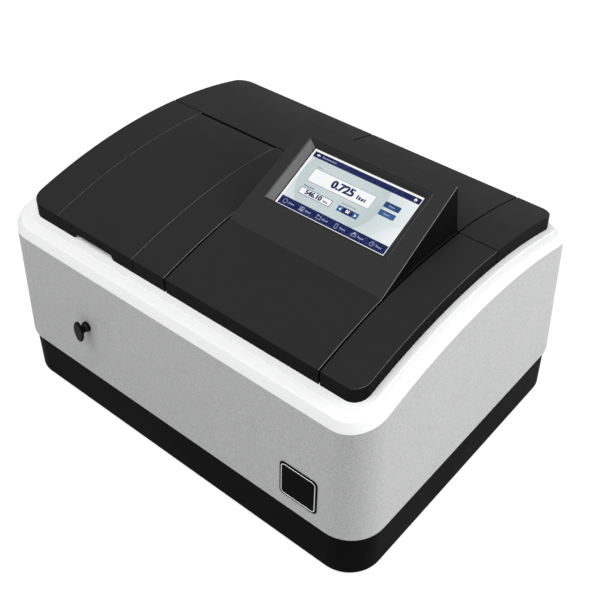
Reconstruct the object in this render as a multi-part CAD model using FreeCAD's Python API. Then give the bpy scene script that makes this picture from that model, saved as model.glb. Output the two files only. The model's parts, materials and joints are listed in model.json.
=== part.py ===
import FreeCAD, Part
import math
import os

# Bench UV-visible spectrophotometer, millimetres, +Z up, front towards -Y.
# Pieces are drawn about the housing's own centre and moved by Y_SHIFT at the end,
# so that the origin is under the centre of the whole object's box.

V = FreeCAD.Vector

# Housing, base and feet
BODY_W = 460.0
BODY_D = 356.0
BODY_R = 37.5
BODY_WALL = 3.5
DRAFT = 0.03
FOOT_H = 4.0
FOOT_R = 11.0
FOOT_INSET = 48.0
FOOT_STEM_R = 3.8
BASE_H = 54.0
BASE_INSET = 2.6
BASE_R = 35.0
BASE_WALL = 4.0
BASE_FLOOR = 3.0
BASE_EDGE = 2.0
BASE_SLOTS = 9
BASE_SLOT_W = 5.0
BASE_SLOT_PITCH = 12.0
BASE_SLOT_L = 80.0
BASE_SLOT_REAR = 78.0
BASE_SLOT_SIDE = 135.0
LIP_H = 5.0
SNUG = 0.3

# The arched top: a cylinder about an axis along X
ARCH_R = 536.4
ARCH_PEAK = 220.0
ARCH_Y = 2.5

# White shoulder and the black covers, measured up from the arch
SHOULDER_UP = 6.1
SHOULDER_CUT = 5.6
RIM_UP = 6.7
RIM_W = 6.5
COVER_UP = 22.65
SIDE_LEDGE = 25.0
FRONT_LEDGE = 26.4
REAR_LEDGE = 14.8
COVER_R = 15.0
COVER_WALL = 2.5
FLANGE_W = 9.0
DECK_T = 3.0
DECK_LEDGE = 8.0
DECK_RIB = 16.0
SEAM = 1.2
LID_SEAM = 0.6

# Widths and depths of the covers
LEFT_COVER_W = 42.0
LID_W = 104.5
MID_COVER_W = 42.0
RIGHT_COVER_W = 42.3
REAR_COVER_D = 111.2

# Display console: its sloping face rises from the front foot to the top edge
CONSOLE_D = 114.6
CONSOLE_BACK = 3.0
CONSOLE_TOP_Z = 292.0
CONSOLE_LEAN = 3.5
CONSOLE_WALL = 3.0
BEZEL_LEFT = 18.1
BEZEL_RIGHT = 19.2
BEZEL_S0 = 34.9
BEZEL_H = 75.5
BEZEL_T = 6.0
SCREEN_LEFT = 8.4
SCREEN_RIGHT = 6.5
SCREEN_LOW = 1.7
SCREEN_HIGH = 5.4
SCREEN_DEPTH = 3.0
SCREEN_LIP = 1.0
GLASS_T = 1.6
GLASS_BORDER = 2.0
LCD_GAP = 0.4
LCD_T = 7.0
DISPLAY_BOARD_T = 1.6
DISPLAY_PILLAR = 3.0

# Sample compartment, cell changer and pull rod
TUB_LEFT = 11.0
TUB_RIGHT = 10.5
TUB_FRONT = 21.6
TUB_REAR = 20.0
TUB_WALL = 2.5
TUB_RIM_W = 4.0
TUB_RIM_T = 1.5
SEAL_T = 2.3
SEAL_W = 3.0
LID_LIFT = 0.3
LID_SWING = 1.2
BEAM_Z = 143.0
WINDOW_R = 9.0
WINDOW_T = 1.5
CELL_PITCH = 15.0
CELL_COUNT = 4
CELL_SIZE = 12.7
CELL_WALL = 3.0
CELL_DEPTH = 38.0
CARRIAGE_BASE_T = 9.0
CARRIAGE_ROOM = 1.65
RAIL_R = 4.0
RAIL_GAP = 40.0
RAIL_FIT = 0.05
ROD_Z = 123.0
ROD_R = 3.0
ROD_FIT = 0.06
ROD_IN = 12.0
DETENT_IN = 12.0
BUSH_R = 5.4
BUSH_BODY_R = 4.5
BUSH_FLANGE = 2.8
KNOB_W = 12.6
KNOB_H = 25.0
KNOB_END_R = 4.0
KNOB_T = 2.8
KNOB_EDGE = 0.8
KNOB_NECK_R = 4.2
KNOB_GAP = 1.5
KNOB_REACH = 12.2

# Lid hinge
HINGE_R = 4.4
PIN_R = 1.5
PIN_FIT = 0.05
PIN_IN = 3.0
EYE_R = 2.9
EYE_ROOM = 0.4
BRACKET_T = 6.0
BRACKET_IN = 12.0
BRACKET_BACK = 4.0
BRACKET_FOOT = 3.4
NOTCH_LEFT = 19.0
NOTCH_W = 60.0
NOTCH_H = 6.0
NOTCH_DEPTH = 8.0
NOTCH_SLANT = 5.0

# Optical bench and what stands on it
BENCH_Z = 93.0
BENCH_T = 8.0
BENCH_SIDE = 24.0
BENCH_REAR = 36.0
BENCH_FRONT = 25.0
BENCH_RIB_T = 6.0
BENCH_RIB_H = 8.0
POST_R = 8.0
POST_IN = 14.0
POST_BOSS = 5.0
MONO_LEFT = 19.0
MONO_W = 162.0
MONO_D = 108.0
MONO_REAR = 14.0
MONO_H = 78.0
MONO_WALL = 5.0
MONO_COVER_T = 3.0
SLIT_IN = 56.0
SLIT_SIZE = 24.0
SLIT_T = 1.2
GRATING_IN = 70.0
GRATING_BACK = 48.0
GRATING_SIZE = 30.0
GRATING_T = 6.2
MIRROR_R = 17.0
MOTOR_SIZE = 36.0
MOTOR_H = 26.0
MOTOR_SHAFT_R = 2.5
SHAFT_ROOM = 0.1
WHEEL_R = 24.0
WHEEL_T = 3.0
WHEEL_ARM = 17.0
WHEEL_GAP = 12.0
FILTER_R = 6.0
FILTER_T = 2.0
FILTER_COUNT = 6
WHEEL_HUB_R = 5.0
WHEEL_HUB_OUT = 2.4
WHEEL_SHAFT_OUT = 12.0
WHEEL_TO_MOTOR = 3.0
FILTER_CAN_R = 10.0
FILTER_CAN_L = 14.0
FILTER_FOOT_W = 16.0
SMALL_SHAFT_R = 1.5
SMALL_BORE_R = 1.6
LAMP_LEFT = 34.0
LAMP_W = 128.0
LAMP_D = 68.0
LAMP_REAR = 2.0
LAMP_H = 84.0
LAMP_BACK = 20.0
LAMP_SIDE = 26.0
LAMP_SLOT_PITCH = 14.0
TUNGSTEN_R = 6.0
TUNGSTEN_H = 18.0
TUNGSTEN_LOW = 10.0
TUNGSTEN_TIP_R = 2.0
TUNGSTEN_TIP_H = 5.0
PINCH_T = 4.0
PINCH_H = 10.0
SOCKET_W = 20.0
SOCKET_D = 14.0
SOCKET_GRIP = 2.0
DEUTERIUM_R = 14.0
DEUTERIUM_H = 42.0
DEUTERIUM_LOW = 22.0
DEUTERIUM_TIP_R = 5.0
DEUTERIUM_TIP_H = 8.0
LAMP_CAP_R = 15.5
LAMP_CAP_T = 5.0
LAMP_CAP_LOW = 26.0
BLADE_W = 18.0
BLADE_T = 2.4
BLADE_UP = 11.0
BLADE_LOW = 19.0
MIRROR_CAN_R = 9.0
MIRROR_CAN_H = 16.0
MIRROR_SHAFT_IN = 4.0
SHEET_T = 1.5
SOURCE_MIRROR_IN = 18.0
DETECTOR_SIDE = 18.0
DETECTOR_W = 76.0
DETECTOR_H = 76.0
DETECTOR_WALL = 4.0
DETECTOR_GAP = 1.5

# Electronics in the base
ELECTRONICS_FRONT = 28.0
BOARD_SIDE = 54.0
BOARD_D = 100.0
BOARD_T = 1.6
BOARD_STAND = 8.0
STUD_R = 3.5
STUD_IN = 6.5
BOARD_CHIPS = ((18, 20, 28, 28, 3), (58, 18, 14, 20, 3), (82, 70, 40, 8, 9),
               (118, 12, 30, 12, 10), (16, 70, 36, 10, 8), (90, 40, 18, 18, 3))
BOARD_CANS = ((100, 12), (104, 27), (82, 22))
BOARD_CAN_R = 5.0
BOARD_CAN_H = 14.0
SUPPLY_SIDE = 52.0
SUPPLY_W = 136.0
SUPPLY_D = 75.0
SUPPLY_H = 42.0
SUPPLY_SLOTS = 6

# Rear panel and its fittings
PANEL_LEFT = 80.0
PANEL_RIGHT = 100.0
PANEL_Z0 = 72.0
PANEL_Z1 = 148.0
PANEL_R = 4.0
PANEL_T = 2.0
PANEL_LAP = 6.0
PANEL_FRAME = 5.0
SCREW_IN = 5.0
SCREW_HEAD_R = 3.0
SCREW_HEAD_T = 1.8
SCREW_SHANK_R = 1.6
SCREW_SHANK_L = 6.0
SCREW_SLOT_W = 1.0
SCREW_SLOT_D = 0.8
FAN_IN = 55.0
FAN_SIZE = 60.0
FAN_T = 15.0
FAN_BLADES = 7
FAN_HUB_R = 10.0
FAN_PIN_R = 1.4
INLET_IN = 38.0
INLET_W = 28.0
INLET_H = 22.0
INLET_D = 22.0
INLET_LOW = 10.0
ROCKER_UP = 18.0
ROCKER_W = 13.0
ROCKER_H = 20.0
ROCKER_TIP = 10.0
AXLE_R = 1.2
PORT_LEFT = 82.0
PORT_L = 12.0
PORT_PROUD = 0.8
PORT_WALL = 1.0
PORT_WELL = 8.0
PORT_TONGUE = 2.0
VENT_PITCH = 9.0
VENT_W = 4.0
VENT_H = 44.0

# Bare badge plate low on the front right
BADGE_SIDE = 68.0
BADGE_UP = 37.0
BADGE_SIZE = 42.0
BADGE_R = 5.0
BADGE_T = 1.4
BADGE_SUNK = 0.6

# Heights and places that follow from the sizes above
Z_BASE = FOOT_H
Z_FLOOR = FOOT_H + BASE_FLOOR
Z_BODY = FOOT_H + BASE_H
Z_BENCH = BENCH_Z + BENCH_T
CUT_LOW = Z_BODY + 60.0
CUT_HIGH = CONSOLE_TOP_Z + 40.0
HALF_SEAM = SEAM / 2

COVER_X = BODY_W / 2 - SIDE_LEDGE
COVER_FRONT = -BODY_D / 2 + FRONT_LEDGE
COVER_REAR = BODY_D / 2 - REAR_LEDGE
SPLIT_LID_L = -COVER_X + LEFT_COVER_W
SPLIT_LID_R = SPLIT_LID_L + LID_W
SPLIT_MID = SPLIT_LID_R + MID_COVER_W
SPLIT_RIGHT = COVER_X - RIGHT_COVER_W
SPLIT_REAR = COVER_REAR - REAR_COVER_D
LID_X0 = SPLIT_LID_L + LID_SEAM / 2
LID_X1 = SPLIT_LID_R - LID_SEAM / 2
NOTCH_X0 = SPLIT_LID_L + NOTCH_LEFT
NOTCH_X1 = NOTCH_X0 + NOTCH_W

CONSOLE_TOP_Y = SPLIT_REAR - CONSOLE_BACK
CONSOLE_FOOT_Y = CONSOLE_TOP_Y - CONSOLE_D
BEZEL_X0 = SPLIT_MID + BEZEL_LEFT
BEZEL_X1 = SPLIT_RIGHT - BEZEL_RIGHT
BEZEL_S1 = BEZEL_S0 + BEZEL_H
SCREEN_X0 = BEZEL_X0 + SCREEN_LEFT
SCREEN_X1 = BEZEL_X1 - SCREEN_RIGHT
SCREEN_S0 = BEZEL_S0 + SCREEN_LOW
SCREEN_S1 = BEZEL_S1 - SCREEN_HIGH
GLASS_TOP = -SCREEN_DEPTH - SCREEN_LIP
LCD_TOP = GLASS_TOP - GLASS_T - LCD_GAP

TUB_X0 = SPLIT_LID_L + TUB_LEFT
TUB_X1 = SPLIT_LID_R - TUB_RIGHT
TUB_Y0 = COVER_FRONT + TUB_FRONT
TUB_Y1 = SPLIT_REAR - TUB_REAR
CELL_REACH = CELL_SIZE / 2 + CELL_WALL
BEAM_Y = TUB_Y1 - CARRIAGE_ROOM - CELL_REACH - (CELL_COUNT - 1) * CELL_PITCH
ROD_X = (TUB_X0 + TUB_X1) / 2
RAIL_Z = ROD_Z - CARRIAGE_BASE_T / 2 - 1.0

MONO_X0 = TUB_X1 + MONO_LEFT
MONO_X1 = MONO_X0 + MONO_W
MONO_Y1 = SPLIT_REAR - MONO_REAR
MONO_Y0 = MONO_Y1 - MONO_D
SLIT_X = MONO_X1 - SLIT_IN
GRATING_X = MONO_X0 + GRATING_IN
GRATING_Y = MONO_Y1 - GRATING_BACK
BENCH_X = BODY_W / 2 - BENCH_SIDE
BENCH_Y0 = MONO_Y0 - BENCH_FRONT
BENCH_Y1 = BODY_D / 2 - BENCH_REAR
LAMP_X0 = SLIT_X - LAMP_LEFT
LAMP_X1 = LAMP_X0 + LAMP_W
LAMP_Y1 = BENCH_Y1 - LAMP_REAR
LAMP_Y0 = LAMP_Y1 - LAMP_D
DETECTOR_X0 = -BODY_W / 2 + DETECTOR_SIDE
DETECTOR_X1 = TUB_X0 - TUB_WALL - DETECTOR_GAP
DETECTOR_Y0 = BEAM_Y - DETECTOR_W / 2
DETECTOR_Y1 = BEAM_Y + DETECTOR_W / 2

ELECTRONICS_Y = -BODY_D / 2 + ELECTRONICS_FRONT
BOARD_X0 = -BODY_W / 2 + BOARD_SIDE
BOARD_X1 = -POST_R - 6.0
SUPPLY_X1 = BODY_W / 2 - SUPPLY_SIDE
SUPPLY_X0 = SUPPLY_X1 - SUPPLY_W

PANEL_X0 = -BODY_W / 2 + PANEL_LEFT
PANEL_X1 = BODY_W / 2 - PANEL_RIGHT
PANEL_MID = (PANEL_Z0 + PANEL_Z1) / 2
FAN_X = PANEL_X0 + FAN_IN
INLET_X = PANEL_X1 - INLET_IN
PORT_X = INLET_X - PORT_LEFT
BADGE_X = BODY_W / 2 - BADGE_SIDE
BADGE_Z = Z_BODY + BADGE_UP


def wall_in(z):
    return DRAFT * (z - Z_BODY)


Y_FRONT = -BODY_D / 2 + wall_in(ROD_Z)
Y_SHIFT = (KNOB_REACH - wall_in(ROD_Z)) / 2
PANEL_Y = BODY_D / 2 - wall_in(PANEL_Z1) - BODY_WALL - PANEL_FRAME


def box(x0, x1, y0, y1, z0, z1):
    return Part.makeBox(x1 - x0, y1 - y0, z1 - z0, V(x0, y0, z0))


def rod(r, p, axis, length):
    return Part.makeCylinder(r, length, V(*p), V(*axis))


def ring(r_out, r_in, p, axis, length):
    return rod(r_out, p, axis, length).cut(rod(r_in, p, axis, length))


def group(shapes):
    return Part.makeCompound(shapes)


def join(shapes):
    result = shapes[0]
    for shape in shapes[1:]:
        result = result.fuse(shape)
    return result.removeSplitter()


def trim(shape, tools):
    for tool in tools:
        shape = shape.cut(tool)
    return shape


def rounded_wire(x0, x1, y0, y1, r, z):
    mid = r * (1 - math.sqrt(0.5))
    p = [V(x0 + r, y0, z), V(x1 - r, y0, z), V(x1, y0 + r, z), V(x1, y1 - r, z),
         V(x1 - r, y1, z), V(x0 + r, y1, z), V(x0, y1 - r, z), V(x0, y0 + r, z)]
    m = [V(x1 - mid, y0 + mid, z), V(x1 - mid, y1 - mid, z), V(x0 + mid, y1 - mid, z), V(x0 + mid, y0 + mid, z)]
    edges = []
    for k in range(4):
        edges.append(Part.LineSegment(p[2 * k], p[2 * k + 1]).toShape())
        edges.append(Part.Arc(p[2 * k + 1], m[k], p[(2 * k + 2) % 8]).toShape())
    return Part.Wire(edges)


def rounded_block(x0, x1, y0, y1, r, z0, z1):
    face = Part.Face(rounded_wire(x0, x1, y0, y1, r, z0))
    return face.extrude(V(0, 0, z1 - z0))


def profile_x(points, x0, x1):
    corners = [V(x0, y, z) for y, z in points]
    face = Part.Face(Part.makePolygon(corners + corners[:1]))
    return face.extrude(V(x1 - x0, 0, 0))


def drafted(inset, z0, z1):
    a0 = inset + wall_in(z0)
    a1 = inset + wall_in(z1)
    x, y = BODY_W / 2, BODY_D / 2
    xc, yc = x - BODY_R, y - BODY_R
    long_way = profile_x([(-y + a0, z0), (y - a0, z0), (y - a1, z1), (-y + a1, z1)], -xc, xc)
    corners = [V(-x + a0, -yc, z0), V(x - a0, -yc, z0), V(x - a1, -yc, z1), V(-x + a1, -yc, z1)]
    short_way = Part.Face(Part.makePolygon(corners + corners[:1])).extrude(V(0, 2 * yc, 0))
    pieces = [long_way, short_way]
    for sx in (-1, 1):
        for sy in (-1, 1):
            pieces.append(Part.makeCone(BODY_R - a0, BODY_R - a1, z1 - z0, V(sx * xc, sy * yc, z0), V(0, 0, 1)))
    return join(pieces)


def under(up):
    half = BODY_W
    return rod(ARCH_R, (-half, ARCH_Y, ARCH_PEAK - ARCH_R + up), (1, 0, 0), 2 * half)


def arch_z(y, up=0.0):
    return ARCH_PEAK - ARCH_R + math.sqrt(ARCH_R ** 2 - (y - ARCH_Y) ** 2) + up


def band(plan, low, high):
    return plan.common(under(high)).cut(under(low))


def bevel_edges(shape, edges, size):
    return shape.makeChamfer(size, edges)


def round_edges(shape, edges, r):
    return shape.makeFillet(r, edges)


# Base and housing

def base_plan(inset, z0, z1):
    a = BASE_INSET + inset
    return rounded_block(-BODY_W / 2 + a, BODY_W / 2 - a, -BODY_D / 2 + a, BODY_D / 2 - a,
                         BASE_R - inset, z0, z1)


def feet_places():
    x = BODY_W / 2 - FOOT_INSET
    y = BODY_D / 2 - FOOT_INSET
    return [(-x, -y), (x, -y), (-x, y), (x, y)]


def post_places():
    x = BENCH_X - POST_IN
    front = BENCH_Y0 + POST_IN
    rear = BENCH_Y1 - POST_IN
    return [(-x, front), (x, front), (-x, rear), (x, rear), (0.0, front), (0.0, rear)]


def base_slots():
    y1 = BODY_D / 2 - BASE_SLOT_REAR
    slots = []
    for side in (-1, 1):
        for k in range(BASE_SLOTS):
            x = side * (BODY_W / 2 - BASE_SLOT_SIDE + (k - (BASE_SLOTS - 1) / 2) * BASE_SLOT_PITCH)
            slots.append(box(x - BASE_SLOT_W / 2, x + BASE_SLOT_W / 2, y1 - BASE_SLOT_L, y1,
                             Z_BASE - 1, Z_FLOOR + 1))
    return slots


def base_tray():
    outer = base_plan(0, Z_BASE, Z_BODY)
    low = [e for e in outer.Edges if e.BoundBox.ZMax < Z_BASE + 0.01]
    outer = bevel_edges(outer, low, BASE_EDGE)
    tray = outer.cut(base_plan(BASE_WALL, Z_FLOOR, Z_BODY + 1))
    lip_out = BODY_WALL + SNUG + DRAFT * LIP_H - BASE_INSET
    lip_in = BASE_WALL + 1.4
    lip = base_plan(lip_out, Z_BODY - 3, Z_BODY + LIP_H).cut(base_plan(lip_in, Z_BODY - 4, Z_BODY + LIP_H + 1))
    tray = trim(tray.fuse(lip), base_slots())
    bosses = [rod(POST_R + 2, (x, y, Z_FLOOR), (0, 0, 1), POST_BOSS) for x, y in post_places()]
    tray = join([tray] + bosses)
    return trim(tray, [rod(FOOT_STEM_R + 0.2, (x, y, Z_BASE - 1), (0, 0, 1), BASE_FLOOR + 2)
                       for x, y in feet_places()])


def rubber_feet():
    feet = []
    for x, y in feet_places():
        foot = Part.makeCone(FOOT_R - 1.2, FOOT_R, FOOT_H, V(x, y, 0), V(0, 0, 1))
        stem = rod(FOOT_STEM_R, (x, y, FOOT_H), (0, 0, 1), BASE_FLOOR)
        feet.append(foot.fuse(stem).removeSplitter())
    return group(feet)


def on_front(block, x, z):
    """Stands a block that was drawn flat on the leaning front wall, at x and z."""
    block.rotate(V(0, 0, 0), V(1, 0, 0), 90 - math.degrees(math.atan(DRAFT)))
    block.translate(V(x, -BODY_D / 2 + wall_in(z), z))
    return block


def badge_block(grow, low, high):
    half = BADGE_SIZE / 2 + grow
    return on_front(rounded_block(-half, half, -half, half, BADGE_R, low, high), BADGE_X, BADGE_Z)


def panel_open(grow, y0, y1):
    block = rounded_block(PANEL_X0 - grow, PANEL_X1 + grow, PANEL_Z0 - grow, PANEL_Z1 + grow,
                          PANEL_R, 0, y1 - y0)
    block.rotate(V(0, 0, 0), V(1, 0, 0), 90)
    block.translate(V(0, y1, 0))
    return block


def housing_shell():
    shell = drafted(0, Z_BODY, CUT_HIGH).common(under(0))
    cavity = drafted(BODY_WALL, Z_BODY - 1, CUT_HIGH).common(under(-DECK_T - 5))
    throat = drafted(BODY_WALL + DECK_LEDGE, Z_BODY - 1, CUT_HIGH)
    seat = drafted(BODY_WALL, CUT_LOW, CUT_HIGH).cut(under(-DECK_T))
    shell = trim(shell, [cavity, throat, seat])
    frame = panel_open(PANEL_LAP, PANEL_Y, BODY_D / 2).common(drafted(BODY_WALL - 1, Z_BODY, CUT_HIGH))
    shell = shell.fuse(frame)
    holes = [panel_open(0, PANEL_Y - 1, BODY_D / 2 + 1), badge_block(0.2, -BADGE_SUNK, 2.0),
             rod(BUSH_BODY_R, (ROD_X, -BODY_D / 2 - 5, ROD_Z), (0, 1, 0), 20)]
    return trim(shell, holes).removeSplitter()


def badge_plate():
    return badge_block(0, -BADGE_SUNK, BADGE_T - BADGE_SUNK)


def cover_plan(inset, z0=CUT_LOW, z1=CUT_HIGH):
    return rounded_block(-COVER_X + inset, COVER_X - inset, COVER_FRONT + inset, COVER_REAR - inset,
                         max(COVER_R - inset, 2.0), z0, z1)


def shoulder_ring():
    block = drafted(0, CUT_LOW, CUT_HIGH).common(under(SHOULDER_UP))
    top = []
    for face in block.Faces:
        surface = face.Surface
        if isinstance(surface, Part.Cylinder) and abs(surface.Radius - ARCH_R) < 0.01:
            top = face.OuterWire.Edges
    block = bevel_edges(block, top, SHOULDER_CUT)
    rim = band(cover_plan(-RIM_W), SHOULDER_UP - 1, RIM_UP)
    block = block.cut(under(0)).fuse(rim)
    seat = cover_plan(0).cut(under(SHOULDER_UP))
    block = trim(block, [seat, cover_plan(FLANGE_W)])
    return block.removeSplitter()


def deck_plan():
    return drafted(BODY_WALL + SNUG, CUT_LOW, CUT_HIGH)


def support_deck():
    deck = band(deck_plan(), -DECK_T, 0)
    room = TUB_WALL + SNUG
    tub_y0 = TUB_Y0 - room
    tub_y1 = TUB_Y1 + room
    x0 = SPLIT_MID + DECK_RIB
    x1 = SPLIT_RIGHT - DECK_RIB
    rear_y0 = SPLIT_REAR + DECK_RIB - 2
    rear_y1 = COVER_REAR - DECK_RIB - 10
    bays = [(TUB_X0 - room, TUB_X1 + room, tub_y0, tub_y1),
            (x0, x1, CONSOLE_FOOT_Y + 10, tub_y1), (x0, x1, tub_y0, CONSOLE_FOOT_Y - 6),
            (x0, x1, rear_y0, rear_y1), (-COVER_X + DECK_RIB + 10, SPLIT_MID - DECK_RIB, rear_y0, rear_y1)]
    return trim(deck, [box(*bay, CUT_LOW, CUT_HIGH) for bay in bays])


# Top covers

def cover(x0, x1, y0, y1, low=0.0, seat=SHOULDER_UP, swing=0.0):
    set_in = FLANGE_W + SNUG + swing
    region = box(x0, x1, y0, y1, CUT_LOW, CUT_HIGH)
    inner = box(x0 + COVER_WALL, x1 - COVER_WALL, y0 + COVER_WALL, y1 - COVER_WALL, CUT_LOW, CUT_HIGH)
    top = band(cover_plan(0).common(region), seat, COVER_UP)
    skirt = band(cover_plan(set_in).common(region), low, seat + 1)
    hollow = band(cover_plan(COVER_WALL).common(inner), seat + COVER_WALL, COVER_UP - COVER_WALL)
    well = band(cover_plan(set_in + COVER_WALL).common(inner), low - 1, COVER_UP - COVER_WALL)
    return trim(top.fuse(skirt), [hollow, well]).removeSplitter()


def front_cover(x0, x1, low=0.0, seat=SHOULDER_UP, swing=0.0):
    return cover(x0, x1, COVER_FRONT - SEAM, SPLIT_REAR - HALF_SEAM, low, seat, swing)


def rear_cover(x0, x1):
    return cover(x0, x1, SPLIT_REAR + HALF_SEAM, COVER_REAR + SEAM)


def left_cover():
    return front_cover(-COVER_X - SEAM, LID_X0 - LID_SEAM)


def mid_cover():
    return front_cover(LID_X1 + LID_SEAM, SPLIT_MID - HALF_SEAM)


def right_cover():
    return front_cover(SPLIT_RIGHT + HALF_SEAM, COVER_X + SEAM)


def rear_left_cover():
    return rear_cover(-COVER_X - SEAM, SPLIT_MID - HALF_SEAM)


def rear_centre_cover():
    return rear_cover(SPLIT_MID + HALF_SEAM, SPLIT_RIGHT - HALF_SEAM)


def rear_right_cover():
    return rear_cover(SPLIT_RIGHT + HALF_SEAM, COVER_X + SEAM)


def console_foot():
    return V(0, CONSOLE_FOOT_Y, arch_z(CONSOLE_FOOT_Y, COVER_UP))


def console_angle():
    foot = console_foot()
    return math.atan2(CONSOLE_TOP_Z - foot.z, CONSOLE_TOP_Y - foot.y)


def on_console(shape):
    shape.rotate(V(0, 0, 0), V(1, 0, 0), math.degrees(console_angle()))
    shape.translate(console_foot())
    return shape


def console_wedge(wall, low):
    foot = console_foot()
    a = console_angle()
    rear_y = SPLIT_REAR - HALF_SEAM
    rear_z = arch_z(rear_y, COVER_UP)
    lean = math.atan2(rear_y - CONSOLE_TOP_Y, CONSOLE_TOP_Z - rear_z)
    front = (foot.y + wall / math.sin(a) + (low - foot.z) / math.tan(a), low)
    back_y = rear_y - wall / math.cos(lean)
    base = (back_y + (rear_z - low) * math.tan(lean), low)
    slope = math.tan(a)
    drop = wall / math.cos(a)
    y_top = (foot.y * slope - foot.z + drop + rear_z + back_y / math.tan(lean)) / (slope + 1 / math.tan(lean))
    z_top = foot.z - drop + (y_top - foot.y) * slope
    x0 = SPLIT_MID + HALF_SEAM + wall
    x1 = SPLIT_RIGHT - HALF_SEAM - wall
    wedge = profile_x([front, base, (y_top, z_top)], x0, x1)
    side = math.degrees(math.atan2(CONSOLE_LEAN, CONSOLE_TOP_Z - foot.z))
    keep = box(x0, x0 + 500, -200, 200, -20, 200)
    keep.rotate(V(x0, 0, 0), V(0, 1, 0), side)
    keep.translate(V(0, 0, foot.z))
    other = box(x1 - 500, x1, -200, 200, -20, 200)
    other.rotate(V(x1, 0, 0), V(0, 1, 0), -side)
    other.translate(V(0, 0, foot.z))
    lower = box(x0, x1, -200, 200, low - 1, foot.z)
    return wedge.common(keep.common(other).fuse(lower)).removeSplitter()


def bezel_block(grow, low, high):
    block = rounded_block(BEZEL_X0 - grow, BEZEL_X1 + grow, BEZEL_S0 - grow, BEZEL_S1 + grow, 1.5, low, high)
    return on_console(block)


def console_cover():
    tray = front_cover(SPLIT_MID + HALF_SEAM, SPLIT_RIGHT - HALF_SEAM)
    low = arch_z(CONSOLE_FOOT_Y, COVER_UP - COVER_WALL / 2)
    outer = console_wedge(0.0, low)
    inner = console_wedge(CONSOLE_WALL, arch_z(CONSOLE_FOOT_Y, 2.0))
    shell = tray.fuse(outer)
    shell = trim(shell, [inner, bezel_block(0, -BEZEL_T - 1, 5)])
    return shell.removeSplitter()


def screen_bezel():
    frame = rounded_block(BEZEL_X0 + 0.1, BEZEL_X1 - 0.1, BEZEL_S0 + 0.1, BEZEL_S1 - 0.1,
                          1.5, -BEZEL_T, 0)
    edge = 1.0
    mouth = [V(BEZEL_X0 + edge, BEZEL_S0 + edge, 0.0), V(BEZEL_X1 - edge, BEZEL_S0 + edge, 0.0),
             V(BEZEL_X1 - edge, BEZEL_S1 - edge, 0.0), V(BEZEL_X0 + edge, BEZEL_S1 - edge, 0.0)]
    deep = [V(SCREEN_X0, SCREEN_S0, -SCREEN_DEPTH), V(SCREEN_X1, SCREEN_S0, -SCREEN_DEPTH),
            V(SCREEN_X1, SCREEN_S1, -SCREEN_DEPTH), V(SCREEN_X0, SCREEN_S1, -SCREEN_DEPTH)]
    outlines = [Part.makePolygon(corners + corners[:1]) for corners in (deep, mouth)]
    chamfer = Part.makeLoft(outlines, True, True)
    sill = box(SCREEN_X0, SCREEN_X1, SCREEN_S0, SCREEN_S1, -BEZEL_T - 1, -SCREEN_DEPTH + 0.01)
    pocket = box(SCREEN_X0 - GLASS_BORDER, SCREEN_X1 + GLASS_BORDER, SCREEN_S0 - GLASS_BORDER + 1,
                 SCREEN_S1 + GLASS_BORDER, -BEZEL_T - 1, GLASS_TOP)
    return on_console(trim(frame, [chamfer, sill, pocket]))


def screen_plate(border, high, low):
    """A plate under the bezel's sill, its top at the height high."""
    return on_console(box(SCREEN_X0 - border, SCREEN_X1 + border, SCREEN_S0 - border + 1,
                          SCREEN_S1 + border, low, high))


def touch_glass():
    return screen_plate(GLASS_BORDER - 0.2, GLASS_TOP, GLASS_TOP - GLASS_T)


def lcd_module():
    return screen_plate(GLASS_BORDER - 0.6, LCD_TOP, LCD_TOP - LCD_T)


def display_board():
    top = LCD_TOP - LCD_T - DISPLAY_PILLAR
    low = top - DISPLAY_BOARD_T
    parts = [box(SCREEN_X0 + 6, SCREEN_X1 - 6, SCREEN_S0 + 3, SCREEN_S1 - 6, low, top)]
    for x in (SCREEN_X0 + 12, SCREEN_X1 - 12):
        for s in (SCREEN_S0 + 8, SCREEN_S1 - 12):
            parts.append(rod(3, (x, s, top), (0, 0, 1), DISPLAY_PILLAR))
    parts.append(box(SCREEN_X0 + 30, SCREEN_X0 + 52, SCREEN_S0 + 23, SCREEN_S0 + 45, low - 2, low))
    parts.append(box(SCREEN_X1 - 53, SCREEN_X1 - 25, SCREEN_S0 + 9, SCREEN_S0 + 15, low - 4, low))
    return on_console(join(parts))


# Sample compartment

def hinge_centre():
    y = SPLIT_REAR - HALF_SEAM - HINGE_R
    tilt = math.atan2(y - ARCH_Y, arch_z(y) - (ARCH_PEAK - ARCH_R))
    return V(0, y, arch_z(y, COVER_UP) - HINGE_R / math.cos(tilt))


def bracket_places():
    a = LID_X0 + BRACKET_IN
    b = LID_X1 - BRACKET_IN
    return [(a, a + BRACKET_T), (b - BRACKET_T, b)]


def sample_lid():
    x0, x1 = LID_X0, LID_X1
    c = hinge_centre()
    lid = front_cover(x0, x1, SEAL_T + 0.2, SHOULDER_UP + LID_LIFT, LID_SWING)
    back = box(x0 + COVER_WALL, x1 - COVER_WALL, c.y - 8, c.y + 20, CUT_LOW, CUT_HIGH).common(
        under(COVER_UP - COVER_WALL))
    lid = trim(lid, [back, box(x0 - 1, x1 + 1, c.y, c.y + 20, CUT_LOW, CUT_HIGH)])
    lid = lid.fuse(rod(HINGE_R, (x0, c.y, c.z), (1, 0, 0), x1 - x0))
    cuts = [rod(PIN_R + PIN_FIT, (x0 - 1, c.y, c.z), (1, 0, 0), x1 - x0 + 2), finger_notch()]
    for a, b in bracket_places():
        cuts.append(rod(EYE_R + EYE_ROOM, (a - EYE_ROOM, c.y, c.z), (1, 0, 0), b - a + 2 * EYE_ROOM))
        cuts.append(box(a - EYE_ROOM, b + EYE_ROOM, c.y - 8, c.y + 8, c.z - 12, c.z))
    return trim(lid, cuts).removeSplitter()


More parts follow.
